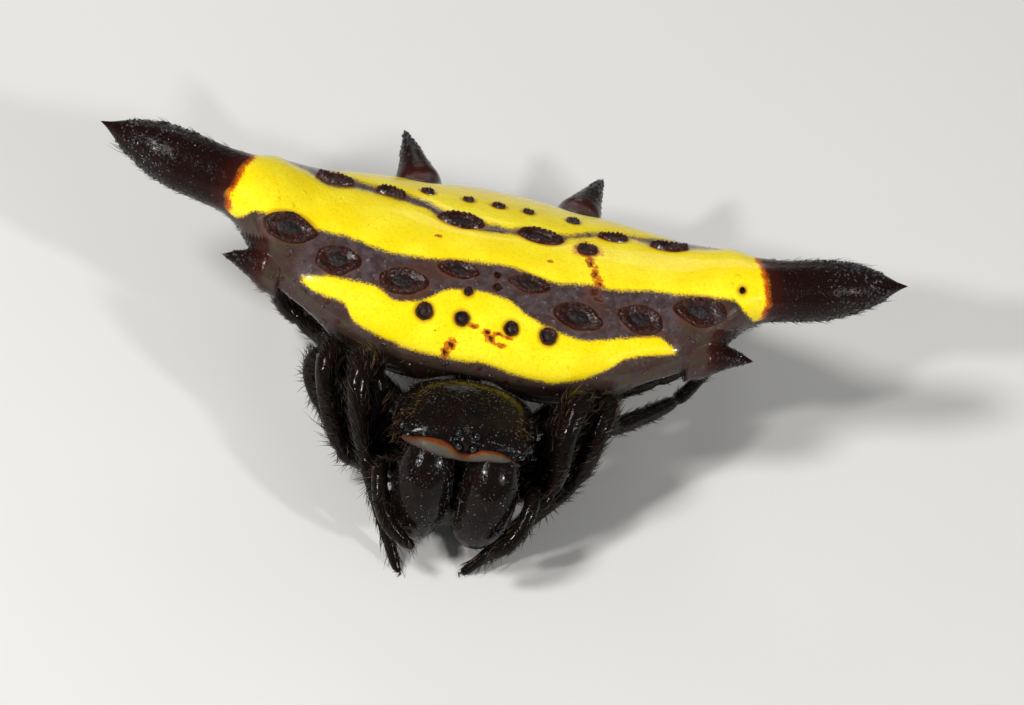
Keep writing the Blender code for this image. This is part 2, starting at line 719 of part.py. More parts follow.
def settle(items):
    """Turn the meshes to metres, centre the animal and hang it on one empty."""
    low, high = bounds(items)
    centre = 0.5 * (low + high)
    spider = bpy.data.objects.new("spider", None)
    bpy.context.scene.collection.objects.link(spider)
    spider.location = (-centre.x * MM, -centre.y * MM, 0.0)
    for item in items:
        near, far = bounds([item])
        own_centre = 0.5 * (near + far)
        item.data.transform(Matrix.Scale(MM, 4) @ Matrix.Translation(-own_centre))
        item.location = own_centre * MM
        item.parent = spider
        item.data.shade_smooth()
        item.data.set_sharp_from_angle(angle=math.radians(50.0))


def build_spider():
    """Make every node of the spider."""
    clear_scene()
    abdomen, abdomen_room = make_abdomen()
    carapace, carapace_room, eyes = make_head_and_eyes()
    sternum = make_sternum()
    sternum_room = room_around(sternum)
    pedicel = make_pedicel(carapace_room, abdomen_room)
    looks = {
        "abdomen": [abdomen],
        "cuticle": [carapace],
        "eyes": eyes,
        "underside": [sternum, pedicel, make_spinnerets(abdomen_room)],
        "fangs": [],
        "legs": make_palps(),
    }
    for jaw in make_jaws(carapace_room):
        looks["fangs" if jaw.name.startswith("fang") else "cuticle"].append(jaw)
    for pose in LEGS:
        looks["legs"] += leg_pieces(pose, sternum_room)
    remove([abdomen_room, carapace_room, sternum_room])
    for look, items in looks.items():
        for item in items:
            give_material(item, look)
    settle([item for items in looks.values() for item in items])


build_spider()
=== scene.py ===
"""Looks of the spiny orb weaver: skins, pitted discs, eyes, hairs, finishes, light and camera.

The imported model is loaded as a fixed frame. Pieces are shaped in millimetres and
turned to metres at the end. The spider faces -Y and its own left side is at +X.
"""

import heapq
import math

import bpy
import numpy as np
from mathutils import Matrix, Quaternion, Vector
from mathutils.bvhtree import BVHTree
from mathutils.geometry import barycentric_transform


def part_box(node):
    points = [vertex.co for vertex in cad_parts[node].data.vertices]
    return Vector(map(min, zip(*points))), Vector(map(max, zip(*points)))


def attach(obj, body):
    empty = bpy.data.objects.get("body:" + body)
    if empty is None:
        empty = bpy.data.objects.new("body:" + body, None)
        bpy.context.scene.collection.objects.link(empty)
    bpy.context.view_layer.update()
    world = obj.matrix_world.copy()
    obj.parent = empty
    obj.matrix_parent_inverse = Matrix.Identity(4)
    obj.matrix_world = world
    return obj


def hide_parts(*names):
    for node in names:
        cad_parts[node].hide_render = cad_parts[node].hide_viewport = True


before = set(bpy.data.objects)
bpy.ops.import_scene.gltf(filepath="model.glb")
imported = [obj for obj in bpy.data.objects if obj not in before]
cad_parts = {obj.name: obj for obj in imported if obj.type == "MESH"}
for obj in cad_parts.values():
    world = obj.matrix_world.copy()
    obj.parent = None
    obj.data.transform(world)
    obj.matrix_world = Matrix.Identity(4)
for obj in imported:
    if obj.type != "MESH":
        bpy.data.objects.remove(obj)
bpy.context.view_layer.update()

bl_info = {
    "name": "Spiny orb weaver",
    "version": (1, 0, 0),
    "blender": (4, 5, 0),
    "location": "View3D > Sidebar > Spider",
    "description": "Dresses the packed spider with skins, hairs and finishes",
    "category": "Object",
}

MM = 0.001
SIDES = {"right": -1.0, "left": 1.0}
LEG_PARTS = ("femur", "tibia", "foot")
LEGS = [f"leg_{number}_{side}" for side in SIDES for number in (1, 2, 3, 4)]
PALPS = ("palp_left", "palp_right")
JAWS = ("chelicera_left", "chelicera_right")
TRUNK = ("carapace", "sternum", "pedicel")
EYES = [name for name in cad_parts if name.startswith("eye_")]
FANGS = ("fang_left", "fang_right")

# Cross sections of the abdomen: x, front and back edge, height of both edges, of
# the crown and the keel, and how far the blunt edge drops before it turns under.
ABDOMEN = (
    (0.0, -2.40, 3.85, 3.35, 2.60, 4.62, 1.15, 0.36),
    (1.5, -2.32, 3.75, 3.35, 2.62, 4.60, 1.30, 0.44),
    (3.0, -1.98, 3.35, 3.38, 2.85, 4.65, 2.00, 0.42),
    (4.2, -1.48, 2.80, 3.48, 3.20, 4.77, 2.75, 0.08),
    (5.2, -0.85, 2.20, 3.80, 3.75, 5.08, 3.20, 0.0),
    (6.0, -0.10, 1.60, 4.45, 4.45, 5.30, 3.75, 0.0),
    (6.4, 0.05, 1.50, 4.65, 4.65, 5.37, 3.93, 0.0),
)
ROUND_FROM_X, ROUND_TO_X = 3.0, 5.6
DORSAL_POWER = 1.2
VENTRAL_POWERS = (1.3, 1.1)
LIP_POWERS = (16.0, 0.5)
SPINNERET_HILL = {"y": 1.3, "height": 0.70, "spread": 0.75}
FRONT_WALL = {"height": 0.50, "rise": (0.3, 1.3), "fall": (2.4, 4.2)}
# Each side spine carries the plate on: x, centre y, centre z, radius.
SIDE_SPINE = (
    (7.2, 0.95, 4.72, 0.72),
    (7.65, 1.03, 4.76, 0.70),
    (8.0, 1.12, 4.80, 0.645),
    (8.2, 1.15, 4.815, 0.59),
    (8.45, 1.21, 4.84, 0.50),
    (8.72, 1.28, 4.87, 0.39),
    (8.98, 1.36, 4.90, 0.24),
    (9.16, 1.42, 4.924, 0.125),
    (9.27, 1.46, 4.94, 0.066),
    (9.42, 1.50, 4.96, 0.004),
)
ABDOMEN_COLUMNS = 256
ABDOMEN_AROUND = 190
DORSAL_SHARE = 0.64
# Where the dark side spines begin: rise and distance from the middle.
COLLAR = (
    (-1.5, 6.10), (-0.5, 6.22), (0.3, 6.25), (0.65, 6.28), (1.0, 6.20), (1.5, 6.10), (2.0, 5.90), (2.7, 5.75))

# The small spines: base, tip, base radius and how far the middle bows.
SMALL_SPINES = (
    ((-5.10, -0.75, 3.65), (-6.12, -0.62, 3.66), 0.54, 0.05),
    ((5.10, -0.75, 3.65), (6.22, -0.60, 3.66), 0.54, 0.05),
    ((-1.92, 3.58, 3.00), (-2.42, 5.15, 3.12), 0.58, 0.06),
    ((1.90, 3.55, 2.98), (2.36, 5.05, 2.94), 0.58, 0.06),
)
SPINE_PROFILE = (
    (-0.40, 1.0), (0.0, 0.98), (0.15, 0.82), (0.3, 0.66), (0.6, 0.38), (0.85, 0.16), (1.0, 0.012))
SPINE_SEGMENTS = 40
SPINE_RINGS = 44

# Sigilla, the pitted discs: x, rise above the middle sight line, half length, half width, slant.
PAIRED_SIGILLA = (
    (4.78, 0.00, 0.60, 0.36, 0.0),
    (2.02, -0.94, 0.54, 0.34, -0.10),
    (0.82, -0.24, 0.45, 0.24, 0.0),
    (1.43, -1.75, 0.20, 0.21, 0.0),
    (0.57, -1.75, 0.17, 0.18, 0.0),
    (0.93, 1.32, 0.52, 0.30, 0.0),
    (3.90, 1.84, 0.44, 0.26, 0.0),
    (2.60, 1.78, 0.34, 0.22, 0.0),
)
SINGLE_SIGILLA = (
    (3.45, -0.63, 0.50, 0.36, -0.14),
    (-3.56, -0.70, 0.50, 0.36, 0.10),
    (-1.75, 2.05, 0.16, 0.14, 0.0),
    (-0.80, 2.05, 0.13, 0.11, 0.0),
    (-0.10, 2.05, 0.16, 0.12, 0.0),
    (0.60, 2.05, 0.13, 0.11, 0.0),
    (1.65, 2.05, 0.16, 0.14, 0.0),
    (2.02, 1.22, 0.24, 0.20, 0.0),
    (-0.53, -0.86, 0.11, 0.13, 0.0),
    (0.06, -0.17, 0.08, 0.08, 0.0),
    (0.10, -0.55, 0.11, 0.10, 0.0),
    (5.60, 0.93, 0.07, 0.08, 0.0),
)
SIGHT_HEIGHT = 4.30
# Across a disc, from its edge to its middle: share of the half size and height.
SIGILLUM_PROFILE = (
    (1.10, -0.030), (1.0, 0.010), (0.96, 0.050), (0.90, 0.080), (0.83, 0.090), (0.75, 0.076), (0.68, 0.046),
    (0.62, 0.050), (0.56, 0.030), (0.50, 0.006), (0.44, 0.002), (0.36, 0.010), (0.28, 0.018), (0.16, 0.026),
)
SIGILLUM_SEGMENTS = 64
# A disc with this half width or more has a full rim and a dull floor.
BROAD_SIGILLUM = 0.26

# Edges of the yellow bands: x and rise, where rise is y + z less the sight height.
FRONT_BAND = {
    "low": (
        (-4.25, -1.62), (-3.95, -1.84), (-3.25, -2.00), (-2.93, -2.52), (-2.12, -2.88), (-1.36, -3.06),
        (-0.62, -3.07), (0.11, -3.02), (0.87, -3.17), (1.63, -3.21), (2.33, -2.91), (2.99, -2.33),
        (3.30, -1.95), (4.38, -1.50)),
    "high": (
        (-4.25, -1.42), (-3.6, -1.26), (-2.70, -1.26), (-2.08, -1.60), (-1.59, -1.46), (-0.92, -0.91),
        (-0.20, -0.77), (0.42, -0.88), (0.83, -1.19), (1.37, -1.46), (2.14, -1.66), (2.86, -1.46),
        (3.93, -1.09), (4.38, -1.38)),
}
MAIN_BAND = {
    "low": (
        (-6.4, -0.10), (-6.10, -0.06), (-5.85, 0.06), (-5.60, 0.30), (-4.26, 0.12), (-3.49, 0.08),
        (-2.42, -0.14), (-1.73, -0.10), (-0.71, 0.06), (0.32, 0.19), (1.32, -0.04), (2.17, 0.10),
        (2.77, 0.11), (3.61, 0.32), (4.13, 0.37), (5.44, 0.56), (5.80, 0.22), (6.05, 0.02), (6.4, -0.05)),
    "high": (
        (-6.4, 4.0), (-5.60, 3.2), (-5.10, 2.10), (-4.60, 1.92), (-4.00, 1.57), (-3.31, 1.67),
        (-2.60, 1.61), (-1.89, 1.52), (-1.18, 1.23), (-0.46, 1.14), (0.57, 1.25), (1.10, 1.20),
        (1.73, 1.51), (2.97, 1.87), (3.51, 1.80), (4.30, 1.92), (5.10, 2.15), (5.60, 3.2), (6.4, 4.0)),
}
REAR_BAND = {
    "low": (
        (-4.30, 2.20), (-3.89, 2.07), (-3.32, 1.90), (-2.69, 1.85), (-1.91, 1.75), (-1.20, 1.49),
        (-0.48, 1.37), (0.55, 1.41), (1.38, 1.51), (2.30, 1.84), (3.23, 1.95), (4.30, 2.10)),
    "back": (
        (-4.30, 2.0), (-3.0, 2.9), (-2.5, 3.02), (-1.9, 2.85), (-1.3, 3.05), (-0.7, 3.45), (0.7, 3.45),
        (1.3, 3.05), (1.9, 2.85), (2.5, 3.02), (3.0, 2.9), (4.30, 2.0)),
}
# How far back the rear band and the back slope begin, and where the main band ends.
REAR_BAND_FROM_Y, REAR_SLOPE_FROM_Y, MAIN_BAND_TO_Y = 0.9, 2.6, 2.3

# Rusty stains on the yellow: x, rise, half width, half height.
STAINS = (
    (2.02, 1.22, 0.32, 0.26), (2.12, 0.87, 0.10, 0.22), (2.26, 0.52, 0.10, 0.22), (2.38, 0.20, 0.12, 0.22),
    (2.30, -0.10, 0.22, 0.20), (2.42, -0.30, 0.20, 0.10), (-0.69, -2.62, 0.13, 0.20),
    (-0.78, -2.90, 0.12, 0.22), (0.05, -2.02, 0.12, 0.10), (-0.27, -1.90, 0.16, 0.10),
    (0.16, -2.20, 0.10, 0.20), (0.40, -2.34, 0.14, 0.09), (0.30, -1.98, 0.14, 0.08),
    (0.55, -2.05, 0.12, 0.08), (-1.40, 0.70, 0.10, 0.07), (1.20, 0.62, 0.10, 0.05),
    (-3.0, 0.62, 0.05, 0.04), (-1.10, -2.30, 0.05, 0.04),
)
STAINS_TO_Y = 2.2
# The bare rim below the front band, and beyond its ends.
SKIRT = {"beyond_x": 4.3, "to_y": 0.6}
# Stands for any distance too long to matter.
FAR_OFF = 9.0

SPINNERET_CONES = {"spread": 0.24, "length": 0.34, "radius": 0.135, "tip_radius": 0.075, "count": 6}

# Skins: size of a voxel, how far limbs grow while their gaps close, how far the smooth
# copy of a node grows to keep its girth, and the distance at which loose corners merge.
SKIN_VOXEL = 0.0485
SPINNERET_VOXEL = 0.03
CLOSING = 0.07
GROWTH = {"limb": 0.026, "trunk": 0.028}
MERGE_DISTANCE = 0.0005
# Balls for the soft joints: radius.
JOINTS = {"leg": 0.24, "palp": 0.20, "jaw": 0.30, "waist_front": 0.22, "waist_back": 0.24, "eye": 0.06}
JAW_JOINT_SHIFT = (0.0, 0.42, -0.10)

# The soft band under the edge of the face, from the right side to the left.
# x, then y and z of its upper edge and of its lower edge.
FACE_BAND = (
    (-1.44, -4.62, 3.15, -4.62, 3.03),
    (-1.20, -4.68, 3.27, -4.80, 3.10),
    (-0.94, -4.75, 3.41, -4.99, 3.24),
    (-0.62, -4.79, 3.47, -5.07, 3.21),
    (-0.34, -4.84, 3.41, -4.99, 3.09),
    (-0.10, -4.92, 3.27, -4.95, 3.07),
    (0.08, -4.92, 3.28, -4.95, 3.08),
    (0.32, -4.84, 3.42, -4.96, 3.13),
    (0.56, -4.81, 3.45, -5.00, 3.26),
    (0.80, -4.77, 3.40, -4.97, 3.26),
    (1.06, -4.72, 3.22, -4.85, 3.12),
    (1.33, -4.66, 3.00, -4.68, 2.93),
)

# Coats of hair: hairs per square millimetre, length against the usual one, and lean along the limb.
COATS = {
    "leg": {"density": 85.0, "length": 1.0, "lean": 2.0},
    "palp": {"density": 90.0, "length": 0.75, "lean": 1.8},
    "jaw": {"density": 10.0, "length": 0.6, "lean": 1.6},
    "carapace": {"density": 12.0, "length": 0.55, "lean": 1.6},
    "sternum": {"density": 60.0, "length": 0.6, "lean": 1.2},
    "pedicel": {"density": 60.0, "length": 0.5, "lean": 1.0},
}
COAT_START = {"place": (0.0, -3.9), "reach": 0.3}
# Tufts of longer hairs: middle, reach, number, length, direction.
TUFTS = (
    ((-1.15, -3.54, 3.45), 0.22, 46, 0.30, (-0.5, -0.7, 0.7)),
    ((-1.38, -4.04, 3.28), 0.20, 40, 0.26, (-0.6, -0.8, 0.4)),
    ((1.20, -3.96, 3.42), 0.20, 22, 0.22, (0.5, -0.8, 0.5)),
    ((-1.42, -4.02, 2.45), 0.25, 40, 0.26, (-0.4, -0.9, 0.2)),
    ((2.10, -2.98, 3.15), 0.30, 40, 0.30, (0.5, -0.6, 0.6)),
)
# Cones that are repeated: number of sides, and where they are cut along their length.
CONES = {"hair": (3, (0.5,)), "claw": (10, (0.15, 0.35, 0.55, 0.75, 0.9))}
HAIR_ROOT_DEPTH = 0.012
FLOOR_GAP = 0.02
BEAD_SIZE = (0.014, 0.032)
ROW_BEAD_SIZE = (0.026, 0.040)
ROW_BEAD_STEP = 0.075
BEAD_DENSITY = {"carapace": 34.0, "jaw": 42.0}
PLATE_BEAD_TONE = (0.032, 0.008, 0.004)
# The row of beads along the front rim of the carapace and down the inner edge of a jaw.
BEAD_ROWS = (
    ((0.10, -4.80, 3.72), (0.42, -4.78, 3.72), (0.66, -4.74, 3.70), (0.92, -4.70, 3.55), (1.30, -4.60, 3.34)),
    ((-0.28, -4.84, 3.62), (-0.42, -4.80, 3.66), (-0.52, -4.74, 3.72)),
    ((-1.36, -4.50, 3.58), (-1.20, -4.56, 3.62), (-1.02, -4.60, 3.66)),
    ((-0.12, -5.25, 2.60), (-0.02, -5.35, 2.20), (0.06, -5.40, 1.90), (0.12, -5.40, 1.60)),
)
CLAW = {"length": 0.17, "radius": 0.022, "spread": 0.45, "apart": 0.02, "sunk": 0.06}
# The last corners of a foot's mesh form its tip.
TIP_CORNERS = 8
# Mouth parts behind the jaws, the two plates and the lip between them: middle and radius.
MOUTH_PARTS = (((-0.24, -4.36, 1.10), 0.34), ((0.24, -4.36, 1.10), 0.34), ((0.0, -4.10, 1.18), 0.32))

# Angles are in degrees, and the distance is in millimetres.
CAMERA = {"azimuth": -5.5, "elevation": 45.0, "roll": 15.4, "pixels_per_mm": 44.0, "distance": 180.0}
CAMERA_AIM = {"point": (0.0, -0.0122, 4.3), "pixel": (494.0, 270.0)}
SENSOR_WIDTH = 36.0
PICTURE = (1024.0, 705.0)
FLOOR_SIZE = 4.0
SKY = {"color": (0.95, 0.97, 1.0, 1.0), "strength": 0.17}
# Soft round lights: place and width in metres, and strength against the key light's setting.
# The two small ones make the glints on the cuticle.
LIGHTS = {
    "key": ((-0.090, -0.050, 0.135), 0.036, 0.78),
    "fill": ((0.095, -0.100, 0.100), 0.050, 0.05),
    "left": ((-0.102, -0.095, 0.094), 0.013, 0.56),
    "right": ((0.120, -0.085, 0.083), 0.013, 0.42),
    "rim": ((-0.02, 0.150, 0.080), 0.070, 0.12),
}
LIGHT_TARGET = (0.0, 0.0, 0.003)


def colour(name, description, default):
    """A colour that a user may change."""
    return bpy.props.FloatVectorProperty(
        name=name, description=description, subtype="COLOR", size=3, min=0.0, max=1.0, default=default)


def length(name, description, default):
    """A length that a user may change, given here in millimetres."""
    return bpy.props.FloatProperty(
        name=name, description=description, subtype="DISTANCE", unit="LENGTH", min=0.0, default=default * MM,
        precision=6)


class SpiderColours(bpy.types.PropertyGroup):
    """Colours of the animal that a user may change."""

    yellow: colour("Yellow", "Bands across the abdomen", (0.90, 0.70, 0.004))
    pale_yellow: colour("Pale yellow", "Middle of the bands, where they are palest", (0.95, 0.80, 0.020))
    grey: colour("Purple grey", "Ground between the bands", (0.080, 0.056, 0.059))
    lip: colour("Lip", "Rounded edge below the front band", (0.020, 0.011, 0.007))
    maroon: colour("Maroon", "Spines and discs", (0.0105, 0.0030, 0.0022))
    orange: colour("Orange", "Collar of each side spine", (0.50, 0.085, 0.004))
    black_brown: colour("Black brown", "Carapace, jaws and legs", (0.0036, 0.0026, 0.0022))
    cream: colour("Cream", "Soft band under the edge of the face", (0.070, 0.070, 0.062))
    floor: colour("Floor", "Plain floor under the animal", (0.74, 0.73, 0.70))


class SpiderSizes(bpy.types.PropertyGroup):
    """Sizes that a user may change."""

    band_height: length("Band height", "How far the yellow bands stand above the grey ground", 0.045)
    leg_hair: length("Leg hair", "Usual length of the hairs on the legs", 0.24)
    spine_hair: length("Spine hair", "Usual length of the hairs on the spines", 0.19)
    hair_width: length("Hair width", "Width of a hair at its root", 0.0155)
    key_light: bpy.props.FloatProperty(
        name="Key light", description="Strength of the main soft light", unit="POWER", min=0.0, default=0.22)


# Curves and small sums

def curve_slopes(places, values, flat_start):
    """Slopes of a curve through the values that doesn't overshoot them."""
    steps = np.diff(values) / np.diff(places)
    product = steps[:-1] * steps[1:]
    total = np.where(np.abs(steps[:-1] + steps[1:]) < 1e-12, 1.0, steps[:-1] + steps[1:])
    inner = np.where(product > 0.0, 2.0 * product / total, 0.0)
    first = 0.0 if flat_start else steps[0]
    return np.concatenate([[first], inner, [steps[-1]]])


def read_curve(rows, at, column=1, flat_start=False):
    """Values of one column of a table at many places along its first column."""
    places = np.array([row[0] for row in rows])
    values = np.array([row[column] for row in rows])
    slopes = curve_slopes(places, values, flat_start)
    at = np.clip(at, places[0], places[-1])
    index = np.clip(np.searchsorted(places, at, side="right") - 1, 0, len(places) - 2)
    width = places[index + 1] - places[index]
    t = (at - places[index]) / width
    return (
        (2 * t ** 3 - 3 * t ** 2 + 1) * values[index]
        + (t ** 3 - 2 * t ** 2 + t) * width * slopes[index]
        + (3 * t ** 2 - 2 * t ** 3) * values[index + 1]
        + (t ** 3 - t ** 2) * width * slopes[index + 1]
    )


def smooth_step(value, low, high):
    """Rise smoothly from 0 to 1 between two values."""
    t = np.clip((value - low) / (high - low), 0.0, 1.0)
    return t * t * (3.0 - 2.0 * t)


def mix(first, second, amount):
    return first + (second - first) * amount


def unit(vectors):
    """Vectors made one long."""
    return vectors / np.maximum(np.linalg.norm(vectors, axis=-1, keepdims=True), 1e-12)


# Mesh tools

def only(*items):
    """Select these objects and nothing else."""
    bpy.ops.object.select_all(action="DESELECT")
    for item in items:
        item.select_set(True)
    bpy.context.view_layer.objects.active = items[0]


def points_of(item):
    """The corners of a mesh object as an array."""
    mesh = item.data
    places = np.empty(len(mesh.vertices) * 3, dtype=np.float32)
    mesh.vertices.foreach_get("co", places)
    return places.reshape(-1, 3).astype(float)


def set_points(item, points):
    """Moves the corners of a mesh object."""
    item.data.vertices.foreach_set("co", np.ascontiguousarray(points, dtype=np.float32).ravel())
    item.data.update()


def normals_of(item):
    """The normals at the corners of a mesh object."""
    normals = np.empty(len(item.data.vertices) * 3, dtype=np.float32)
    item.data.vertex_normals.foreach_get("vector", normals)
    return normals.reshape(-1, 3).astype(float)


def add_value(item, name, values):
    """Stores one number for each corner, which a material reads by name."""
    layer = item.data.attributes.new(name, "FLOAT", "POINT")
    layer.data.foreach_set("value", np.ascontiguousarray(values, dtype=np.float32))


def apply_modifier(item, kind, **settings):
    """Adds a modifier, sets it and applies it."""
    only(item)
    modifier = item.modifiers.new(kind.title(), kind)
    for name, value in settings.items():
        setattr(modifier, name, value)
    bpy.ops.object.modifier_apply(modifier=modifier.name)


def new_primitive(kind, **settings):
    """Adds a mesh primitive and nothing else stays selected."""
    bpy.ops.object.select_all(action="DESELECT")
    getattr(bpy.ops.mesh, f"primitive_{kind}_add")(**settings)
    return bpy.context.view_layer.objects.active


def new_ball(**settings):
    """Adds a ball and sorts its faces, because the primitive's own order changes from run to run."""
    item = new_primitive("uv_sphere", calc_uvs=False, **settings)
    corners = [vertex.co[:] for vertex in item.data.vertices]
    faces = sorted(face.vertices[:] for face in item.data.polygons)
    item.data.clear_geometry()
    item.data.from_pydata(corners, [], faces)
    return item


def edit_all(operator, **settings):
    """Runs an edit-mode operator on all of the active mesh."""
    bpy.ops.object.mode_set(mode="EDIT")
    bpy.ops.mesh.select_all(action="SELECT")
    operator(**settings)
    bpy.ops.object.mode_set(mode="OBJECT")


def apply_place():
    """Puts the place, turn and size of what is selected into its mesh."""
    bpy.ops.object.transform_apply(location=True, rotation=True, scale=True)


def copy_of(name):
    """A copy of a CAD node in millimetres, with its loose triangles merged."""
    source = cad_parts[name]
    item = bpy.data.objects.new(f"{name}_copy", source.data.copy())
    bpy.context.scene.collection.objects.link(item)
    item.data.materials.clear()
    item.data.transform(Matrix.Scale(1.0 / MM, 4))
    only(item)
    edit_all(bpy.ops.mesh.remove_doubles, threshold=MERGE_DISTANCE)
    return item


def joined(items, name):
    """Several mesh objects as one."""
    only(*items)
    if len(items) > 1:
        bpy.ops.object.join()
    item = bpy.context.view_layer.objects.active
    item.name = item.data.name = name
    return item


def tree_of(item):
    """A tree for finding the nearest point of a mesh."""
    return BVHTree.FromPolygons(
        [vertex.co for vertex in item.data.vertices], [face.vertices[:] for face in item.data.polygons])


def finish_piece(item, material_slot, *materials):
    """Turns a piece to metres, gives it its finish and lets it ride on the frame."""
    item.data.transform(Matrix.Scale(MM, 4))
    item.data.update()
    if materials:
        item.data.materials.clear()
        for material in materials:
            item.data.materials.append(material)
    only(item)
    bpy.ops.object.shade_smooth()
    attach(item, "root")


def shaped_ball(name, segments, rings, shape):
    """A ball whose corners are moved by a function of its polar share and its turn."""
    item = new_ball(segments=segments, ring_count=rings, radius=1.0)
    item.name = item.data.name = name
    places = points_of(item)
    along = 1.0 - np.arccos(np.clip(places[:, 2], -1.0, 1.0)) / math.pi
    turn = np.mod(np.arctan2(places[:, 1], places[:, 0]), 2.0 * math.pi)
    set_points(item, shape(along, turn))
    only(item)
    edit_all(bpy.ops.mesh.normals_make_consistent, inside=False)
    return item


# Hairs and beads

def template(kind):
    """One hair, claw or bead, as corners and faces. It is modelled once and then repeated."""
    if kind == "bead":
        item = new_ball(segments=8, ring_count=5, radius=1.0)
    else:
        sides, cuts = CONES[kind]
        item = new_primitive(
            "cone", vertices=sides, radius1=1.0, radius2=0.0, depth=1.0, location=(0, 0, 0.5))
        apply_place()
        bpy.ops.object.mode_set(mode="EDIT")
        for cut in cuts:
            bpy.ops.mesh.select_all(action="SELECT")
            bpy.ops.mesh.bisect(plane_co=(0, 0, cut), plane_no=(0, 0, 1))
        bpy.ops.object.mode_set(mode="OBJECT")
    corners = points_of(item)
    faces = [list(face.vertices) for face in item.data.polygons]
    bpy.data.objects.remove(item, do_unlink=True)
    return corners, faces


def repeated(name, kind, roots, directions, lengths, widths, bends=None, uvs=None, tones=None):
    """Copies of a template at many roots, as one mesh. A bend turns each tip away."""
    corners, faces = template(kind)
    count, each = len(roots), len(corners)
    directions = unit(directions)
    helper = np.where(np.abs(directions[:, 2:3]) < 0.8, (0.0, 0.0, 1.0), (1.0, 0.0, 0.0))
    side = unit(np.cross(directions, helper))
    other = np.cross(directions, side)
    along = corners[:, 2]
    girth = corners[:, :2]
    if kind == "hair":
        girth = girth * np.where(np.abs(along - 0.5) < 0.01, 1.5, 1.0)[:, None]
    points = roots[:, None, :] + directions[:, None, :] * (lengths[:, None] * along)[:, :, None]
    points += side[:, None, :] * (widths[:, None] * girth[:, 0])[:, :, None]
    points += other[:, None, :] * (widths[:, None] * girth[:, 1])[:, :, None]
    if bends is not None:
        points += bends[:, None, :] * (lengths[:, None] * along ** 2)[:, :, None]
    flat = np.concatenate([np.array(face) for face in faces])
    sizes = np.array([len(face) for face in faces])
    loops = (flat[None, :] + each * np.arange(count)[:, None]).ravel()
    totals = np.tile(sizes, count)
    mesh = bpy.data.meshes.new(name)
    mesh.vertices.add(count * each)
    mesh.vertices.foreach_set("co", points.astype(np.float32).ravel())
    mesh.loops.add(len(loops))
    mesh.loops.foreach_set("vertex_index", loops.astype(np.int32))
    mesh.polygons.add(len(totals))
    mesh.polygons.foreach_set("loop_start", np.concatenate([[0], np.cumsum(totals)[:-1]]).astype(np.int32))
    mesh.update(calc_edges=True)
    mesh.validate()
    item = bpy.data.objects.new(name, mesh)
    bpy.context.scene.collection.objects.link(item)
    add_value(item, "along", np.tile(along, count))
    if tones is not None:
        add_value(item, "tone", np.repeat(tones, each))
    if uvs is not None:
        patch = (corners[:, :2] + 1.0) * 0.0015
        spread = (uvs[:, None, :] + patch[None, :, :]).reshape(-1, 2)
        layer = mesh.uv_layers.new(name="OFBake")
        layer.data.foreach_set("uv", spread[loops].astype(np.float32).ravel())
    return item


class Unwrap:
    """An unwrap of the CAD shape under a coat, which gives each root its place in the picture."""

    def __init__(self, names):
        item = joined([copy_of(name) for name in names], "unwrap")
        edit_all(bpy.ops.uv.smart_project, angle_limit=math.radians(66), island_margin=0.004)
        mesh = item.data
        mesh.calc_loop_triangles()
        layer = mesh.uv_layers.active.data
        places = [vertex.co.copy() for vertex in mesh.vertices]
        self.corners = [[places[index] for index in part.vertices] for part in mesh.loop_triangles]
        self.places = [[layer[index].uv.to_3d() for index in part.loops] for part in mesh.loop_triangles]
        self.tree = BVHTree.FromPolygons(places, [part.vertices[:] for part in mesh.loop_triangles])
        bpy.data.objects.remove(item, do_unlink=True)

    def at(self, points):
        """The place in the unwrap of each point."""
        found = []
        for point in points:
            near, _, index, _ = self.tree.find_nearest(point)
            place = barycentric_transform(near, *self.corners[index], *self.places[index])
            found.append((place.x, place.y))
        return np.clip(np.array(found), 0.0, 0.996)


def triangles_of(item):
    """Corner numbers of every triangle of a mesh object."""
    item.data.calc_loop_triangles()
    numbers = np.empty(len(item.data.loop_triangles) * 3, dtype=np.int32)
    item.data.loop_triangles.foreach_get("vertices", numbers)
    return numbers.reshape(-1, 3)


def scattered(points, triangles, weights, random):
    """Random places on a surface. Weights are hairs per square millimetre at each corner."""
    a, b, c = (points[triangles[:, index]] for index in range(3))
    area = 0.5 * np.linalg.norm(np.cross(b - a, c - a), axis=1)
    expected = area * weights[triangles].mean(axis=1)
    picked = np.repeat(np.arange(len(triangles)), random.poisson(expected))
    u, v = random.random((2, len(picked)))
    flip = u + v > 1.0
    u, v = np.where(flip, 1.0 - u, u), np.where(flip, 1.0 - v, v)
    roots = a[picked] * (1.0 - u - v)[:, None] + b[picked] * u[:, None] + c[picked] * v[:, None]
    return roots, triangles[picked, random.integers(0, 3, len(picked))]


def edges_of(item):
    numbers = np.empty(len(item.data.edges) * 2, dtype=np.int32)
    item.data.edges.foreach_get("vertices", numbers)
    return numbers.reshape(-1, 2)


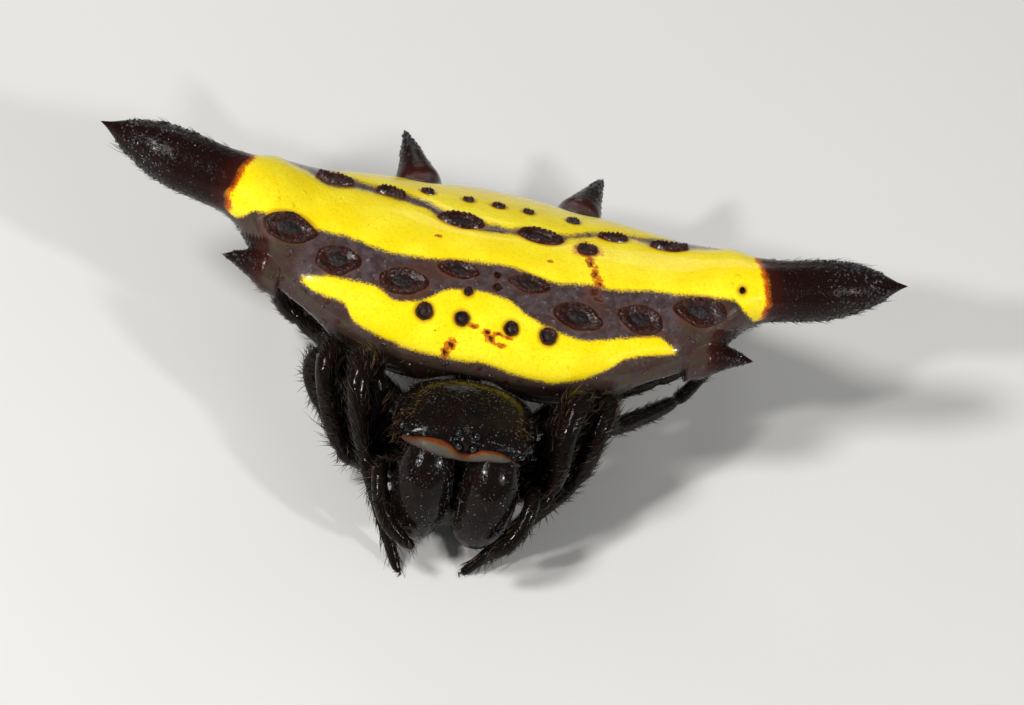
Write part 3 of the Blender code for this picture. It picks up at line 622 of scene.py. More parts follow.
def away_from(points, edges, start):
    """How far each corner is from the start along the surface, and which way leads away from it."""
    lengths = np.linalg.norm(points[edges[:, 0]] - points[edges[:, 1]], axis=1)
    both = np.concatenate([edges, edges[:, ::-1]])
    costs = np.concatenate([lengths, lengths])
    order = np.argsort(both[:, 0], kind="stable")
    targets, costs = both[order, 1].tolist(), costs[order].tolist()
    firsts = np.searchsorted(both[order, 0], np.arange(len(points) + 1)).tolist()
    distance = [1e9] * len(points)
    queue = [(0.0, int(index)) for index in start]
    for _, index in queue:
        distance[index] = 0.0
    while queue:
        gone, index = heapq.heappop(queue)
        if gone > distance[index]:
            continue
        for place in range(firsts[index], firsts[index + 1]):
            total = gone + costs[place]
            if total < distance[targets[place]]:
                distance[targets[place]] = total
                heapq.heappush(queue, (total, targets[place]))
    distance = np.minimum(np.array(distance), 60.0)
    flow = np.zeros_like(points)
    run = points[edges[:, 1]] - points[edges[:, 0]]
    rise = (distance[edges[:, 1]] - distance[edges[:, 0]]) / np.maximum(lengths, 1e-6) ** 2
    for axis in range(3):
        part = run[:, axis] * rise
        flow[:, axis] += np.bincount(edges[:, 0], part, len(points))
        flow[:, axis] += np.bincount(edges[:, 1], part, len(points))
    for _ in range(6):
        total = flow.copy()
        for axis in range(3):
            total[:, axis] += np.bincount(edges[:, 0], flow[edges[:, 1], axis], len(points))
            total[:, axis] += np.bincount(edges[:, 1], flow[edges[:, 0], axis], len(points))
        flow = unit(total)
    return distance, flow


# Shape of the abdomen

def abdomen_tables():
    """The cross sections of the plate and of the side spine as one table."""
    rows = list(ABDOMEN)
    for x, centre, height, radius in SIDE_SPINE:
        rows.append((
            x, centre - radius, centre + radius, height, height, height + radius, height - radius, 0.0))
    return rows


def abdomen_surface(x, turn):
    """Points of the smooth abdomen at distances from the middle and turns round the section."""
    rows = abdomen_tables()
    far = np.abs(x)
    front, back, front_rim, back_rim, crown, keel, lip = (
        read_curve(rows, far, column, flat_start=True) for column in range(1, 8))
    roundness = np.where(far >= ABDOMEN[-1][0], 1.0, smooth_step(far, ROUND_FROM_X, ROUND_TO_X))
    across = -np.cos(turn)
    lift = np.abs(np.sin(turn))
    y = 0.5 * (front + back) + 0.5 * (back - front) * across
    rim_middle = 0.5 * (front_rim + back_rim)
    rim = mix(front_rim, back_rim, 0.5 * (across + 1.0))
    wall = FRONT_WALL["height"] * smooth_step(far, *FRONT_WALL["rise"])
    wall = wall * (1.0 - smooth_step(far, *FRONT_WALL["fall"])) * smooth_step(-across, -0.2, 0.6)
    lip = lip + wall
    top = rim + (crown - rim_middle) * mix(lift ** DORSAL_POWER, lift, roundness)
    swell = mix((1.0 - np.abs(across) ** VENTRAL_POWERS[0]) ** VENTRAL_POWERS[1], lift, roundness)
    edge = np.clip(1.0 - np.abs(across) ** LIP_POWERS[0], 0.0, 1.0) ** LIP_POWERS[1]
    away = (x ** 2 + (y - SPINNERET_HILL["y"]) ** 2) / (2.0 * SPINNERET_HILL["spread"] ** 2)
    bottom = rim - lip * edge - (rim_middle - keel - lip) * swell
    bottom = bottom - SPINNERET_HILL["height"] * np.exp(-away) * swell
    return np.stack([x, y, np.where(turn <= math.pi, top, bottom)], axis=-1)


def band_distance(points):
    """How far inside a yellow band a point lies, in millimetres, and below 0 outside."""
    x, y, z = points.T
    rise = y + z - SIGHT_HEIGHT
    front = np.minimum(rise - read_curve(FRONT_BAND["low"], x), read_curve(FRONT_BAND["high"], x) - rise)
    front_ends = (FRONT_BAND["low"][-1][0] - x, x - FRONT_BAND["low"][0][0])
    front = np.minimum.reduce([front, *front_ends])
    main = np.minimum(rise - read_curve(MAIN_BAND["low"], x), read_curve(MAIN_BAND["high"], x) - rise)
    main = np.minimum(main, read_curve(COLLAR, rise) + 0.1 - np.abs(x))
    main = np.where(y > MAIN_BAND_TO_Y, np.minimum(main, MAIN_BAND_TO_Y - y), main)
    behind = read_curve(REAR_BAND["back"], x) - y
    ends = REAR_BAND["back"][-1][0] - np.abs(x)
    rear = np.where(y < REAR_BAND_FROM_Y, -1.0, np.minimum(rise - read_curve(REAR_BAND["low"], x), behind))
    # On the back slope rise falls again, so there only the back edge bounds the band.
    rear = np.minimum(np.where(y > REAR_SLOPE_FROM_Y, behind, rear), ends)
    return np.maximum.reduce([front, main, rear])


def top_share(points):
    """1 on the upper side of the abdomen and 0 below its edge."""
    x, y, z = points.T
    rows = abdomen_tables()
    far = np.abs(x)
    front, back, front_rim, back_rim = (
        read_curve(rows, far, column, flat_start=True) for column in range(1, 5))
    across = np.clip((y - front) / np.maximum(back - front, 0.01), 0.0, 1.0)
    return smooth_step(z - mix(front_rim, back_rim, across), -0.45, 0.0)


def spine_distance(points):
    """How far a point lies beyond a spine's collar, in millimetres, and its share of the way to the tip."""
    x, y, z = points.T
    out = np.abs(x) - read_curve(COLLAR, y + z - SIGHT_HEIGHT)
    share = np.clip(out / (SIDE_SPINE[-1][0] - COLLAR[2][1]), 0.0, 1.0)
    for base, tip, radius, _ in SMALL_SPINES:
        run = np.array(tip) - np.array(base)
        length = np.linalg.norm(run)
        t = (points - np.array(base)) @ run / length ** 2
        away = np.linalg.norm(points - np.array(base) - np.outer(t, run), axis=1)
        near = away < radius * (1.75 - 0.9 * np.clip(t, 0.0, 1.0))
        out = np.where(near & (t > -0.1), np.maximum(out, (t + 0.16) * length - 0.28 * away), out)
        share = np.where(near, np.maximum(share, np.clip(t, 0.0, 1.0)), share)
    return out, share


def make_small_spine(base, tip, radius, bow):
    """A short, bowed spine in millimetres, with its root sunk in the plate."""
    base, run = np.array(base), np.array(tip) - np.array(base)
    forward = unit(run)
    across = unit(np.cross(forward, (0.0, 0.0, 1.0)))
    up = np.cross(across, forward)

    def shape(along, turn):
        place = mix(SPINE_PROFILE[0][0], 1.0, along)
        girth = radius * read_curve(SPINE_PROFILE, place)
        girth = np.where(along < 1e-6, 0.0, girth)
        bend = bow * (1.0 - (2.0 * place - 1.0) ** 2)
        centre = base + np.outer(place, run) + np.outer(bend, up)
        round_part = np.outer(np.cos(turn) * girth, across) + np.outer(np.sin(turn) * girth, up)
        return centre + round_part

    return shaped_ball("small_spine", SPINE_SEGMENTS, SPINE_RINGS, shape)


def make_spinnerets():
    """Six short cones round a low ring below the abdomen, down to the floor."""
    low, high = (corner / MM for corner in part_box("spinnerets"))
    middle = Vector((0.5 * (low.x + high.x), 0.5 * (low.y + high.y), 0.0))
    sizes = SPINNERET_CONES
    cones = []
    for index in range(sizes["count"]):
        turn = 2.0 * math.pi * (index + 0.5) / sizes["count"]
        outward = Vector((math.cos(turn), math.sin(turn), 0.0)) * sizes["spread"]
        cones.append(new_primitive(
            "cone", vertices=24, radius1=sizes["tip_radius"], radius2=sizes["radius"] * 1.1,
            depth=sizes["length"], location=middle + outward * 0.95 + Vector((0, 0, 0.5 * sizes["length"]))))
    base = copy_of("spinnerets")
    apply_modifier(base, "SUBSURF", levels=1, render_levels=1)
    plug = new_ball(
        segments=32, ring_count=16, radius=0.5, location=middle + Vector((0, 0, 0.62)), scale=(1.0, 1.0, 0.7))
    body = joined([base, plug, *cones], "spinnerets_body")
    apply_place()
    apply_modifier(body, "REMESH", mode="VOXEL", voxel_size=SPINNERET_VOXEL)
    apply_modifier(body, "SMOOTH", factor=0.5, iterations=4)
    points = points_of(body)
    points[:, 2] = np.maximum(points[:, 2], 0.0)
    set_points(body, points)
    return body


def fillet_where(item, near, reach=0.16, repeat=14):
    """Smooths the surface near given points, as where a spine leaves the plate."""
    points = points_of(item)
    mask = np.zeros(len(points), bool)
    for centre, radius in near:
        mask |= np.linalg.norm(points - np.array(centre), axis=1) < radius + reach
    group = item.vertex_groups.new(name="fillet")
    group.add([int(index) for index in np.flatnonzero(mask)], 1.0, "REPLACE")
    apply_modifier(item, "SMOOTH", factor=0.5, iterations=repeat, vertex_group="fillet")
    item.vertex_groups.clear()


class SPIDER_OT_abdomen(bpy.types.Operator):
    """The skin of the abdomen with its six spines and spinnerets"""

    bl_idname = "spider.abdomen"
    bl_label = "Abdomen"

    def execute(self, context):
        reach = SIDE_SPINE[-1][0]

        def shape(along, turn):
            part = turn / (2.0 * math.pi)
            upper = part <= DORSAL_SHARE
            turned = np.where(
                upper, math.pi * part / DORSAL_SHARE,
                math.pi * (1.0 + (part - DORSAL_SHARE) / (1.0 - DORSAL_SHARE)))
            return abdomen_surface(mix(-reach, reach, along), turned)

        skin = shaped_ball("abdomen_skin", ABDOMEN_AROUND, ABDOMEN_COLUMNS, shape)
        growths = [make_small_spine(*spine) for spine in SMALL_SPINES]
        growths.append(make_spinnerets())
        group = bpy.data.collections.new("growths")
        for growth in growths:
            group.objects.link(growth)
        apply_modifier(skin, "BOOLEAN", operation="UNION", operand_type="COLLECTION", collection=group,
                       solver="EXACT")
        bpy.data.collections.remove(group)
        for growth in growths:
            bpy.data.objects.remove(growth, do_unlink=True)
        fillet_where(skin, [(mix(np.array(b), np.array(t), 0.06), r) for b, t, r, _ in SMALL_SPINES])
        points, normals = points_of(skin), normals_of(skin)
        top = top_share(points)
        out, share = spine_distance(points)
        band = np.minimum(band_distance(points), 0.4) * top + np.where(top < 1.0, -0.5 * (1.0 - top), 0.0)
        height = context.scene.spider_sizes.band_height / MM
        puff = height * smooth_step(band, -0.12, 0.22) * smooth_step(-out, -0.05, 0.5)
        points = points + normals * puff[:, None]
        set_points(skin, points)
        pit = np.full(len(points), FAR_OFF)
        surface = tree_of(skin)
        for mark in all_sigilla():
            centre, along, across, normal = sigillum_place(surface, mark)
            away = points - np.array(centre)
            size = np.hypot(away @ np.array(along) / mark[2], away @ np.array(across) / mark[3])
            size = np.where(np.abs(away @ np.array(normal)) < 0.8, size, FAR_OFF)
            pit = np.minimum(pit, (size - 1.0) * min(mark[2], mark[3]))
        rise = points[:, 1] + points[:, 2] - SIGHT_HEIGHT
        stain = np.zeros(len(points))
        for x, height, half_width, half_height in STAINS:
            away = np.hypot((points[:, 0] - x) / half_width, (rise - height) / half_height)
            stain = np.maximum(stain, 1.0 - 0.5 * away)
        stain = stain * (points[:, 1] < STAINS_TO_Y) * smooth_step(top, 0.2, 0.9)
        below = read_curve(FRONT_BAND["low"], points[:, 0]) - rise
        beyond = np.abs(points[:, 0]) - SKIRT["beyond_x"]
        skirt = smooth_step(np.maximum(below, beyond), -0.05, 0.3) * (points[:, 1] < SKIRT["to_y"])
        values = {"band": band, "top": top, "out": out, "share": share, "skirt": skirt}
        for name, numbers in {**values, "pit": np.minimum(pit, 2.0), "stain": stain}.items():
            add_value(skin, name, numbers)
        keep_surface("abdomen", skin, tree=surface, **values)
        finish_piece(skin, "abdomen_cuticle", abdomen_material(context))
        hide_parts("abdomen", "spinnerets")
        return {"FINISHED"}


def all_sigilla():
    """Every disc of the abdomen, on both sides."""
    mirrored = [(-x, *sizes, -slant) for x, *sizes, slant in PAIRED_SIGILLA]
    return [*PAIRED_SIGILLA, *mirrored, *SINGLE_SIGILLA]


def sigillum_place(surface, mark):
    """Where a sight line at 45 degrees meets the back, with the directions along, across and out."""
    sight = Vector((0, 1, -1)).normalized()
    target = Vector((mark[0], 0.0, SIGHT_HEIGHT + mark[1]))
    centre, normal, _, _ = surface.ray_cast(target - sight * 12.0, sight)
    along = (Vector((1, 0, 0)) - normal * normal.x).normalized()
    along.rotate(Quaternion(normal, mark[4]))
    return centre, along, normal.cross(along), normal


class SPIDER_OT_sigilla(bpy.types.Operator):
    """The dark discs with raised rims on the abdomen, draped over its skin"""

    bl_idname = "spider.sigilla"
    bl_label = "Sigilla"

    def execute(self, context):
        surface = SURFACES["abdomen"]["tree"]
        random = np.random.default_rng(5)
        item = joined([self.disc(surface, mark, random) for mark in all_sigilla()], "sigilla")
        finish_piece(item, "spine_cuticle", sigillum_material())
        return {"FINISHED"}

    @staticmethod
    def disc(surface, mark, random):
        """One disc: a circle is added, inset ring by ring and laid on the skin."""
        centre, along, across, _ = sigillum_place(surface, mark)
        half_length, half_width = mark[2], mark[3]
        broad = min(1.0, half_width / BROAD_SIGILLUM)
        item = new_primitive("circle", vertices=SIGILLUM_SEGMENTS, radius=1.0, fill_type="NGON")
        bpy.ops.object.mode_set(mode="EDIT")
        bpy.ops.mesh.select_all(action="SELECT")
        shares = [share for share, _ in SIGILLUM_PROFILE]
        for before, after in zip(shares, shares[1:]):
            bpy.ops.mesh.inset(thickness=(before - after) / shares[0] * math.cos(math.pi / SIGILLUM_SEGMENTS))
        bpy.ops.mesh.poke()
        bpy.ops.object.mode_set(mode="OBJECT")
        flat = points_of(item) * shares[0]
        share = np.linalg.norm(flat[:, :2], axis=1)
        turn = np.arctan2(flat[:, 1], flat[:, 0])
        rows = sorted(SIGILLUM_PROFILE)
        rows = [(0.0, rows[0][1]), *rows]
        height = read_curve(rows, share) * mix(0.45, 1.0, broad)
        phase = random.uniform(0.0, 6.28, 4)
        wobble = sum(
            np.sin(turn * waves + shift) * size
            for waves, shift, size in zip((2, 3, 5, 8), phase, (0.010, 0.025, 0.020, 0.012)))
        lens = 1.0 + (0.03 * np.cos(2.0 * turn) + 0.025 * np.cos(4.0 * turn)) * (half_length > 0.3)
        wobble = wobble + lens - 1.0
        waves = round(10 + half_length * 22)
        beads = 1.0 + 0.34 * np.sin(turn * waves + phase[0]) * smooth_step(share, 0.68, 0.85)
        inner_ring = smooth_step(0.12 - np.abs(share - 0.60), 0.0, 0.1)
        beads += 0.45 * np.sin(turn * (waves + 5) + phase[1]) * inner_ring
        beads += 0.16 * np.sin(turn * 3.0 + phase[2]) + 0.10 * np.sin(turn * 7.0 + phase[3])
        points_out = []
        for (x, y), tall, factor, bead in zip(flat[:, :2], height, 1.0 + wobble, beads):
            aim = Vector(centre) + along * (x * half_length * factor) + across * (y * half_width * factor)
            place, normal, _, _ = surface.find_nearest(aim)
            points_out.append(place + normal * (tall * (bead if tall > 0 else 1.0)))
        set_points(item, np.array(points_out))
        add_value(item, "share", share)
        add_value(item, "broad", np.full(len(share), broad))
        return item


# Skin of the forebody

def rounded_copy(name, grow):
    """A copy of a node with a smooth surface, grown a little so that it keeps its girth."""
    item = copy_of(name)
    edit_all(bpy.ops.mesh.tris_convert_to_quads, face_threshold=1.2, shape_threshold=1.2)
    apply_modifier(item, "SUBSURF", levels=2, render_levels=2)
    apply_modifier(item, "DISPLACE", strength=grow, mid_level=0.0)
    return item


def closed_limb(names, name):
    """Nodes of one limb as one body: each is grown, they are fused, and the whole is shrunk again."""
    parts = [rounded_copy(part, GROWTH["limb"] + CLOSING) for part in names]
    limb = joined(parts, name)
    apply_modifier(limb, "REMESH", mode="VOXEL", voxel_size=SKIN_VOXEL)
    apply_modifier(limb, "DISPLACE", strength=-CLOSING, mid_level=0.0)
    return limb


def nearest_pair(first, second):
    """The closest points of two CAD nodes, in millimetres."""
    tree = tree_of(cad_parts[second])
    best = min(
        ((vertex.co, tree.find_nearest(vertex.co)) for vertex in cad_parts[first].data.vertices),
        key=lambda pair: pair[1][3])
    return best[0] / MM, best[1][0] / MM


def joint_ball(first, second, radius, shift=(0.0, 0.0, 0.0)):
    """A ball in the gap between two nodes, for the soft joint that the animal has there."""
    here, there = nearest_pair(first, second)
    return soft_ball(0.5 * (here + there) + Vector(shift), radius)


def soft_ball(place, radius):
    """A ball that becomes part of the skin when it is remeshed."""
    item = new_ball(segments=24, ring_count=14, radius=radius, location=place)
    apply_place()
    return item


def node_at(points, names):
    """Which of the named CAD nodes lies nearest to each point, as an index."""
    places, faces, owners = [], [], []
    for index, name in enumerate(names):
        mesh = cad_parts[name].data
        offset = len(places)
        places += [vertex.co / MM for vertex in mesh.vertices]
        for face in mesh.polygons:
            faces.append([offset + corner for corner in face.vertices])
            owners.append(index)
    tree = BVHTree.FromPolygons(places, faces)
    return np.array([owners[tree.find_nearest(point)[2]] for point in points])


class SPIDER_OT_forebody(bpy.types.Operator):
    """One skin over carapace, breast plate, waist, jaws, feelers and legs"""

    bl_idname = "spider.forebody"
    bl_label = "Forebody"

    def execute(self, context):
        parts = [closed_limb([f"{leg}_{part}" for part in LEG_PARTS], leg) for leg in LEGS]
        parts += [rounded_copy(name, GROWTH["limb"]) for name in PALPS]
        parts += [rounded_copy(name, GROWTH["trunk"]) for name in (*JAWS, *TRUNK)]
        parts += [joint_ball(f"{leg}_femur", "sternum", JOINTS["leg"]) for leg in LEGS]
        parts += [joint_ball(palp, "sternum", JOINTS["palp"]) for palp in PALPS]
        parts += [joint_ball(jaw, "carapace", JOINTS["jaw"], JAW_JOINT_SHIFT) for jaw in JAWS]
        parts.append(joint_ball("pedicel", "carapace", JOINTS["waist_front"]))
        parts.append(joint_ball("pedicel", "abdomen", JOINTS["waist_back"]))
        parts += [joint_ball(eye, "carapace", JOINTS["eye"]) for eye in EYES]
        parts += [soft_ball(place, radius) for place, radius in MOUTH_PARTS]
        skin = joined(parts, "forebody_skin")
        apply_modifier(skin, "REMESH", mode="VOXEL", voxel_size=SKIN_VOXEL)
        apply_modifier(skin, "SMOOTH", factor=0.5, iterations=5)
        points = points_of(skin)
        points[:, 2] = np.maximum(points[:, 2], 0.0)
        set_points(skin, points)
        names = [f"{leg}_{part}" for leg in LEGS for part in LEG_PARTS] + [*PALPS, *JAWS, *TRUNK]
        owners = np.array([kind_of(name) for name in names])[node_at(points, names)]
        add_value(skin, "limb", np.isin(owners, ("leg", "palp")))
        add_value(skin, "jaw", owners == "jaw")
        keep_surface("forebody", skin, owners=owners)
        finish_piece(skin, "body_cuticle", forebody_material(context))
        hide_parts(*names)
        return {"FINISHED"}


def kind_of(name):
    """Which coat a CAD node wears."""
    return {"leg": "leg", "palp": "palp", "chelicera": "jaw"}.get(name.split("_")[0], name)


SURFACES = {}


def keep_surface(name, item, **values):
    """Keeps the corners, normals and edges of a skin, in millimetres, for its coat."""
    SURFACES[name] = {
        "points": points_of(item), "normals": normals_of(item), "edges": edges_of(item),
        "triangles": triangles_of(item), **values}


def make_coat(name, surface, weights, lengths, leans, random, flow, unwrap, width, material, palest=1.0):
    """Hairs over a skin: they leave it at a slant and bend along the way that leads to the tips.

    Palest caps each hair's tone, which makes the highest ones tan.
    """
    points, normals = surface["points"], surface["normals"]
    roots, corners = scattered(points, surface["triangles"], weights, random)
    out, onward = normals[corners], flow[corners]
    onward = unit(onward - out * np.sum(onward * out, axis=1)[:, None])
    size = lengths[corners] * np.exp(random.normal(0.0, 0.30, len(roots)))
    slant = leans[corners] * random.uniform(0.75, 1.35, len(roots))
    direction = unit(out + onward * slant[:, None] + random.normal(0.0, 0.16, (len(roots), 3)))
    keep = roots[:, 2] + direction[:, 2] * size >= FLOOR_GAP
    roots, direction, onward, size, out = (part[keep] for part in (roots, direction, onward, size, out))
    bends = onward * 0.22 - out * 0.12
    girth = width * (0.55 + 0.45 * np.clip(size / np.median(lengths), 0.4, 1.6))
    coat = repeated(
        name, "hair", roots - out * HAIR_ROOT_DEPTH, direction, size, 0.5 * girth, bends, unwrap.at(roots),
        random.random(len(roots)) * palest)
    finish_piece(coat, "bristle", material)


class SPIDER_OT_coats(bpy.types.Operator):
    """Hairs on legs, feelers, jaws, carapace, breast plate, spines and underside"""

    bl_idname = "spider.coats"
    bl_label = "Coats of hair"

    def execute(self, context):
        sizes = context.scene.spider_sizes
        width = sizes.hair_width / MM
        material = bristle_material(context)
        surface = SURFACES["forebody"]
        points, owners = surface["points"], surface["owners"]
        random = np.random.default_rng(11)
        near = np.linalg.norm(points[:, :2] - COAT_START["place"], axis=1) < COAT_START["reach"]
        start = np.flatnonzero((owners == "carapace") & near)
        distance, flow = away_from(points, surface["edges"], start)
        unwrap = Unwrap([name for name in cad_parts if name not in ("abdomen", "spinnerets")])
        density, length, lean = (
            np.array([COATS[owner][part] for owner in owners]) for part in ("density", "length", "lean"))
        length = length * sizes.leg_hair / MM * mix(1.0, 0.55, smooth_step(distance, 6.5, 9.5))
        face = smooth_step(-points[:, 1], 4.3, 4.9) * (owners == "carapace")
        length, density = length * (1.0 - 0.4 * face), density * (1.0 - 0.8 * face)
        legs = owners == "leg"
        for side, sign in SIDES.items():
            weights = density * (legs & (points[:, 0] * sign > 0.0))
            make_coat(
                f"coat_legs_{side}", surface, weights, length, lean, random, flow, unwrap, width, material)
        make_coat("coat_body", surface, density * ~legs, length, lean, random, flow, unwrap, width, material)
        self.tufts(surface, random, unwrap, width, material)
        self.abdomen_coats(context, width, material)
        return {"FINISHED"}

    @staticmethod
    def tufts(surface, random, unwrap, width, material):
        """Longer tan hairs in tufts by the carapace and on one knee."""
        tree = BVHTree.FromPolygons(surface["points"].tolist(), surface["triangles"].tolist())
        roots, ways, lengths = [], [], []
        for middle, reach, count, length, way in TUFTS:
            for _ in range(count):
                place, _, _, _ = tree.find_nearest(Vector(middle) + Vector(random.normal(0.0, reach, 3)))
                roots.append(place)
                ways.append(np.array(way) + random.normal(0.0, 0.28, 3))
                lengths.append(length * random.uniform(0.6, 1.2))
        roots, ways, lengths = (np.array(part) for part in (roots, ways, lengths))
        coat = repeated(
            "coat_tufts", "hair", roots, ways, lengths, np.full(len(roots), 0.55 * width), None,
            unwrap.at(roots), random.uniform(0.86, 1.0, len(roots)))
        finish_piece(coat, "bristle", material)

    @staticmethod
    def abdomen_coats(context, width, material):
        """Fine hairs on the spines, all along the tips' way, and short ones on the underside."""
        sizes = context.scene.spider_sizes
        surface = SURFACES["abdomen"]
        points = surface["points"]
        random = np.random.default_rng(12)
        unwrap = Unwrap(["abdomen", "spinnerets"])
        ones = np.ones(len(points))
        outward = np.stack([np.sign(points[:, 0]), 0.15 * ones, 0.05 * ones], axis=-1)
        small = np.zeros(len(points), bool)
        for base, tip, _, _ in SMALL_SPINES:
            near = np.linalg.norm(points - mix(np.array(base), np.array(tip), 0.5), axis=1) < 1.0
            outward[near] = np.array(tip) - np.array(base)
            small |= near
        outward = unit(outward)
        far = smooth_step(surface["out"], 0.0, 0.5)
        weights = 60.0 * far * (0.4 + 0.7 * surface["share"]) * (surface["share"] < 0.90)
        length = sizes.spine_hair / MM * mix(0.8, 1.15, surface["share"])
        length[small] *= 0.5
        make_coat(
            "coat_spines", surface, weights, length, 1.7 * ones, random, outward, unwrap, 0.75 * width,
            material, palest=0.6)
        below = (1.0 - surface["top"]) * (1.0 - far)
        flow = unit(np.stack([0.3 * points[:, 0], ones, -0.3 * ones], axis=-1))
        make_coat(
            "coat_underside", surface, 55.0 * below, 0.17 * ones, 1.36 * ones, random, flow, unwrap,
            0.8 * width, material)


class SPIDER_OT_beads(bpy.types.Operator):
    """Tiny shining grains on carapace, jaws, spines and the plate's grey ground"""

    bl_idname = "spider.beads"
    bl_label = "Beads"

    def execute(self, context):
        random = np.random.default_rng(21)
        surface = SURFACES["forebody"]
        points, owners = surface["points"], surface["owners"]
        weights = np.zeros(len(points))
        for kind, density in BEAD_DENSITY.items():
            weights[owners == kind] = density
        weights *= surface["normals"][:, 2] > -0.2
        roots, corners = scattered(points, surface["triangles"], weights, random)
        normals = surface["normals"][corners]
        tree = BVHTree.FromPolygons(points.tolist(), surface["triangles"].tolist())
        row_roots, row_normals = [], []
        for row in BEAD_ROWS:
            for start, end in zip(row, row[1:]):
                count = max(int(math.dist(start, end) / ROW_BEAD_STEP), 1)
                for index in range(count):
                    aim = Vector(start).lerp(Vector(end), (index + random.uniform(-0.25, 0.25)) / count)
                    place, normal, _, _ = tree.find_nearest(aim)
                    row_roots.append(place)
                    row_normals.append(normal)
        sizes = np.concatenate([
            mix(*BEAD_SIZE, random.random(len(roots)) ** 2.0),
            random.uniform(*ROW_BEAD_SIZE, len(row_roots))])
        roots = np.concatenate([roots, np.array(row_roots)])
        normals = np.concatenate([normals, np.array(row_normals)])
        beads = repeated("beads_forebody", "bead", roots, normals, sizes * 0.8, sizes)
        hues = context.scene.spider_colours
        finish_piece(beads, "body_cuticle", bead_material(hues.black_brown))
        surface = SURFACES["abdomen"]
        share = surface["share"] * (surface["out"] > 0.1)
        weights = 95.0 * smooth_step(share, 0.30, 0.75) + 12.0 * smooth_step(share, 0.0, 0.2) * (share > 0.0)
        roots, corners = scattered(surface["points"], surface["triangles"], weights, random)
        sizes = random.uniform(0.018, 0.036, len(roots)) * mix(0.7, 1.2, surface["share"][corners])
        keep = surface["share"][corners] < 0.93
        roots, corners, sizes = roots[keep], corners[keep], sizes[keep]
        normals = unit(surface["normals"][corners] + 0.5 * np.sign(roots[:, :1]) * (1.0, 0.1, 0.0))
        beads = repeated("beads_spines", "bead", roots, normals, sizes * 0.9, sizes)
        finish_piece(beads, "spine_cuticle", bead_material(hues.maroon))
        plain = surface["top"] * (surface["out"] < -0.1) * (surface["band"] < -0.04)
        weights = plain * mix(4.0, 8.0, surface["skirt"])
        roots, corners = scattered(surface["points"], surface["triangles"], weights, random)
        count = len(roots)
        large = surface["skirt"][corners] > 0.5
        sizes = np.where(large, random.uniform(0.022, 0.050, count), random.uniform(0.010, 0.020, count))
        beads = repeated("beads_plate", "bead", roots, surface["normals"][corners], sizes * 0.8, sizes)
        finish_piece(beads, "abdomen_cuticle", bead_material(PLATE_BEAD_TONE))
        return {"FINISHED"}


def middle_of(places):
    return sum(places, Vector()) / len(places)


class SPIDER_OT_claws(bpy.types.Operator):
    """Two small curved claws at the end of each foot"""

    bl_idname = "spider.claws"
    bl_label = "Claws"

    def execute(self, context):
        roots, ways = [], []
        for leg in LEGS:
            knee, _ = nearest_pair(f"{leg}_foot", f"{leg}_tibia")
            corners = [vertex.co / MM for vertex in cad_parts[f"{leg}_foot"].data.vertices]
            corners.sort(key=lambda corner: (corner - knee).length)
            tip = middle_of(corners[-TIP_CORNERS:])
            way = (tip - middle_of(corners[-3 * TIP_CORNERS:-TIP_CORNERS])).normalized()
            side = way.cross(Vector((0, 0, 1))).normalized()
            for sign in (-1.0, 1.0):
                turn = (way + side * sign * CLAW["spread"]).normalized()
                turn.z = max(turn.z, 0.02)
                place = tip + side * sign * CLAW["apart"] - way * CLAW["sunk"]
                place.z = max(place.z, CLAW["radius"] + 0.005)
                roots.append(place)
                ways.append(turn)
        count = len(roots)
        bends = np.tile((0.0, 0.0, -0.05), (count, 1))
        lengths = np.full(count, CLAW["length"])
        girths = np.full(count, CLAW["radius"])
        claws = repeated("claws", "claw", np.array(roots), np.array(ways), lengths, girths, bends)
        points = points_of(claws)
        points[:, 2] = np.maximum(points[:, 2], 0.002)
        set_points(claws, points)
        finish_piece(claws, "fang_horn", horn_material())
        return {"FINISHED"}


class SPIDER_OT_face_band(bpy.types.Operator):
    """The soft cream band with an orange rim under the edge of the face"""

    bl_idname = "spider.face_band"
    bl_label = "Face band"

    def execute(self, context):
        route = np.array(FACE_BAND)
        places = np.linspace(0.0, 1.0, len(route))
        columns = [np.column_stack([places, route[:, axis]]) for axis in range(5)]

        def shape(along, turn):
            x, *edges = (read_curve(column, along) for column in columns)
            high, low = np.stack(edges[:2], axis=-1), np.stack(edges[2:], axis=-1)
            half = 0.5 * (high - low)
            forward = unit(np.stack([-half[:, 1], half[:, 0]], axis=-1))
            ends = np.sqrt(np.clip(1.0 - (2.0 * along - 1.0) ** 16, 0.0, 1.0))[:, None]
            flat = 0.5 * (high + low) - 0.05 * forward
            flat = flat + ends * (np.sin(turn)[:, None] * half + 0.11 * np.cos(turn)[:, None] * forward)
            return np.column_stack([x, flat])

        band = shaped_ball("face_band", 32, 140, shape)
        points = points_of(band)
        edges = np.stack([read_curve(FACE_BAND, points[:, 0], column) for column in (1, 2, 3, 4)], axis=-1)
        low, run = edges[:, 2:], edges[:, :2] - edges[:, 2:]
        rise = np.sum((points[:, 1:] - low) * run, axis=1) / np.maximum(np.sum(run * run, axis=1), 0.01)
        add_value(band, "rise", rise)
        finish_piece(band, "face_membrane", face_band_material(context))
        return {"FINISHED"}


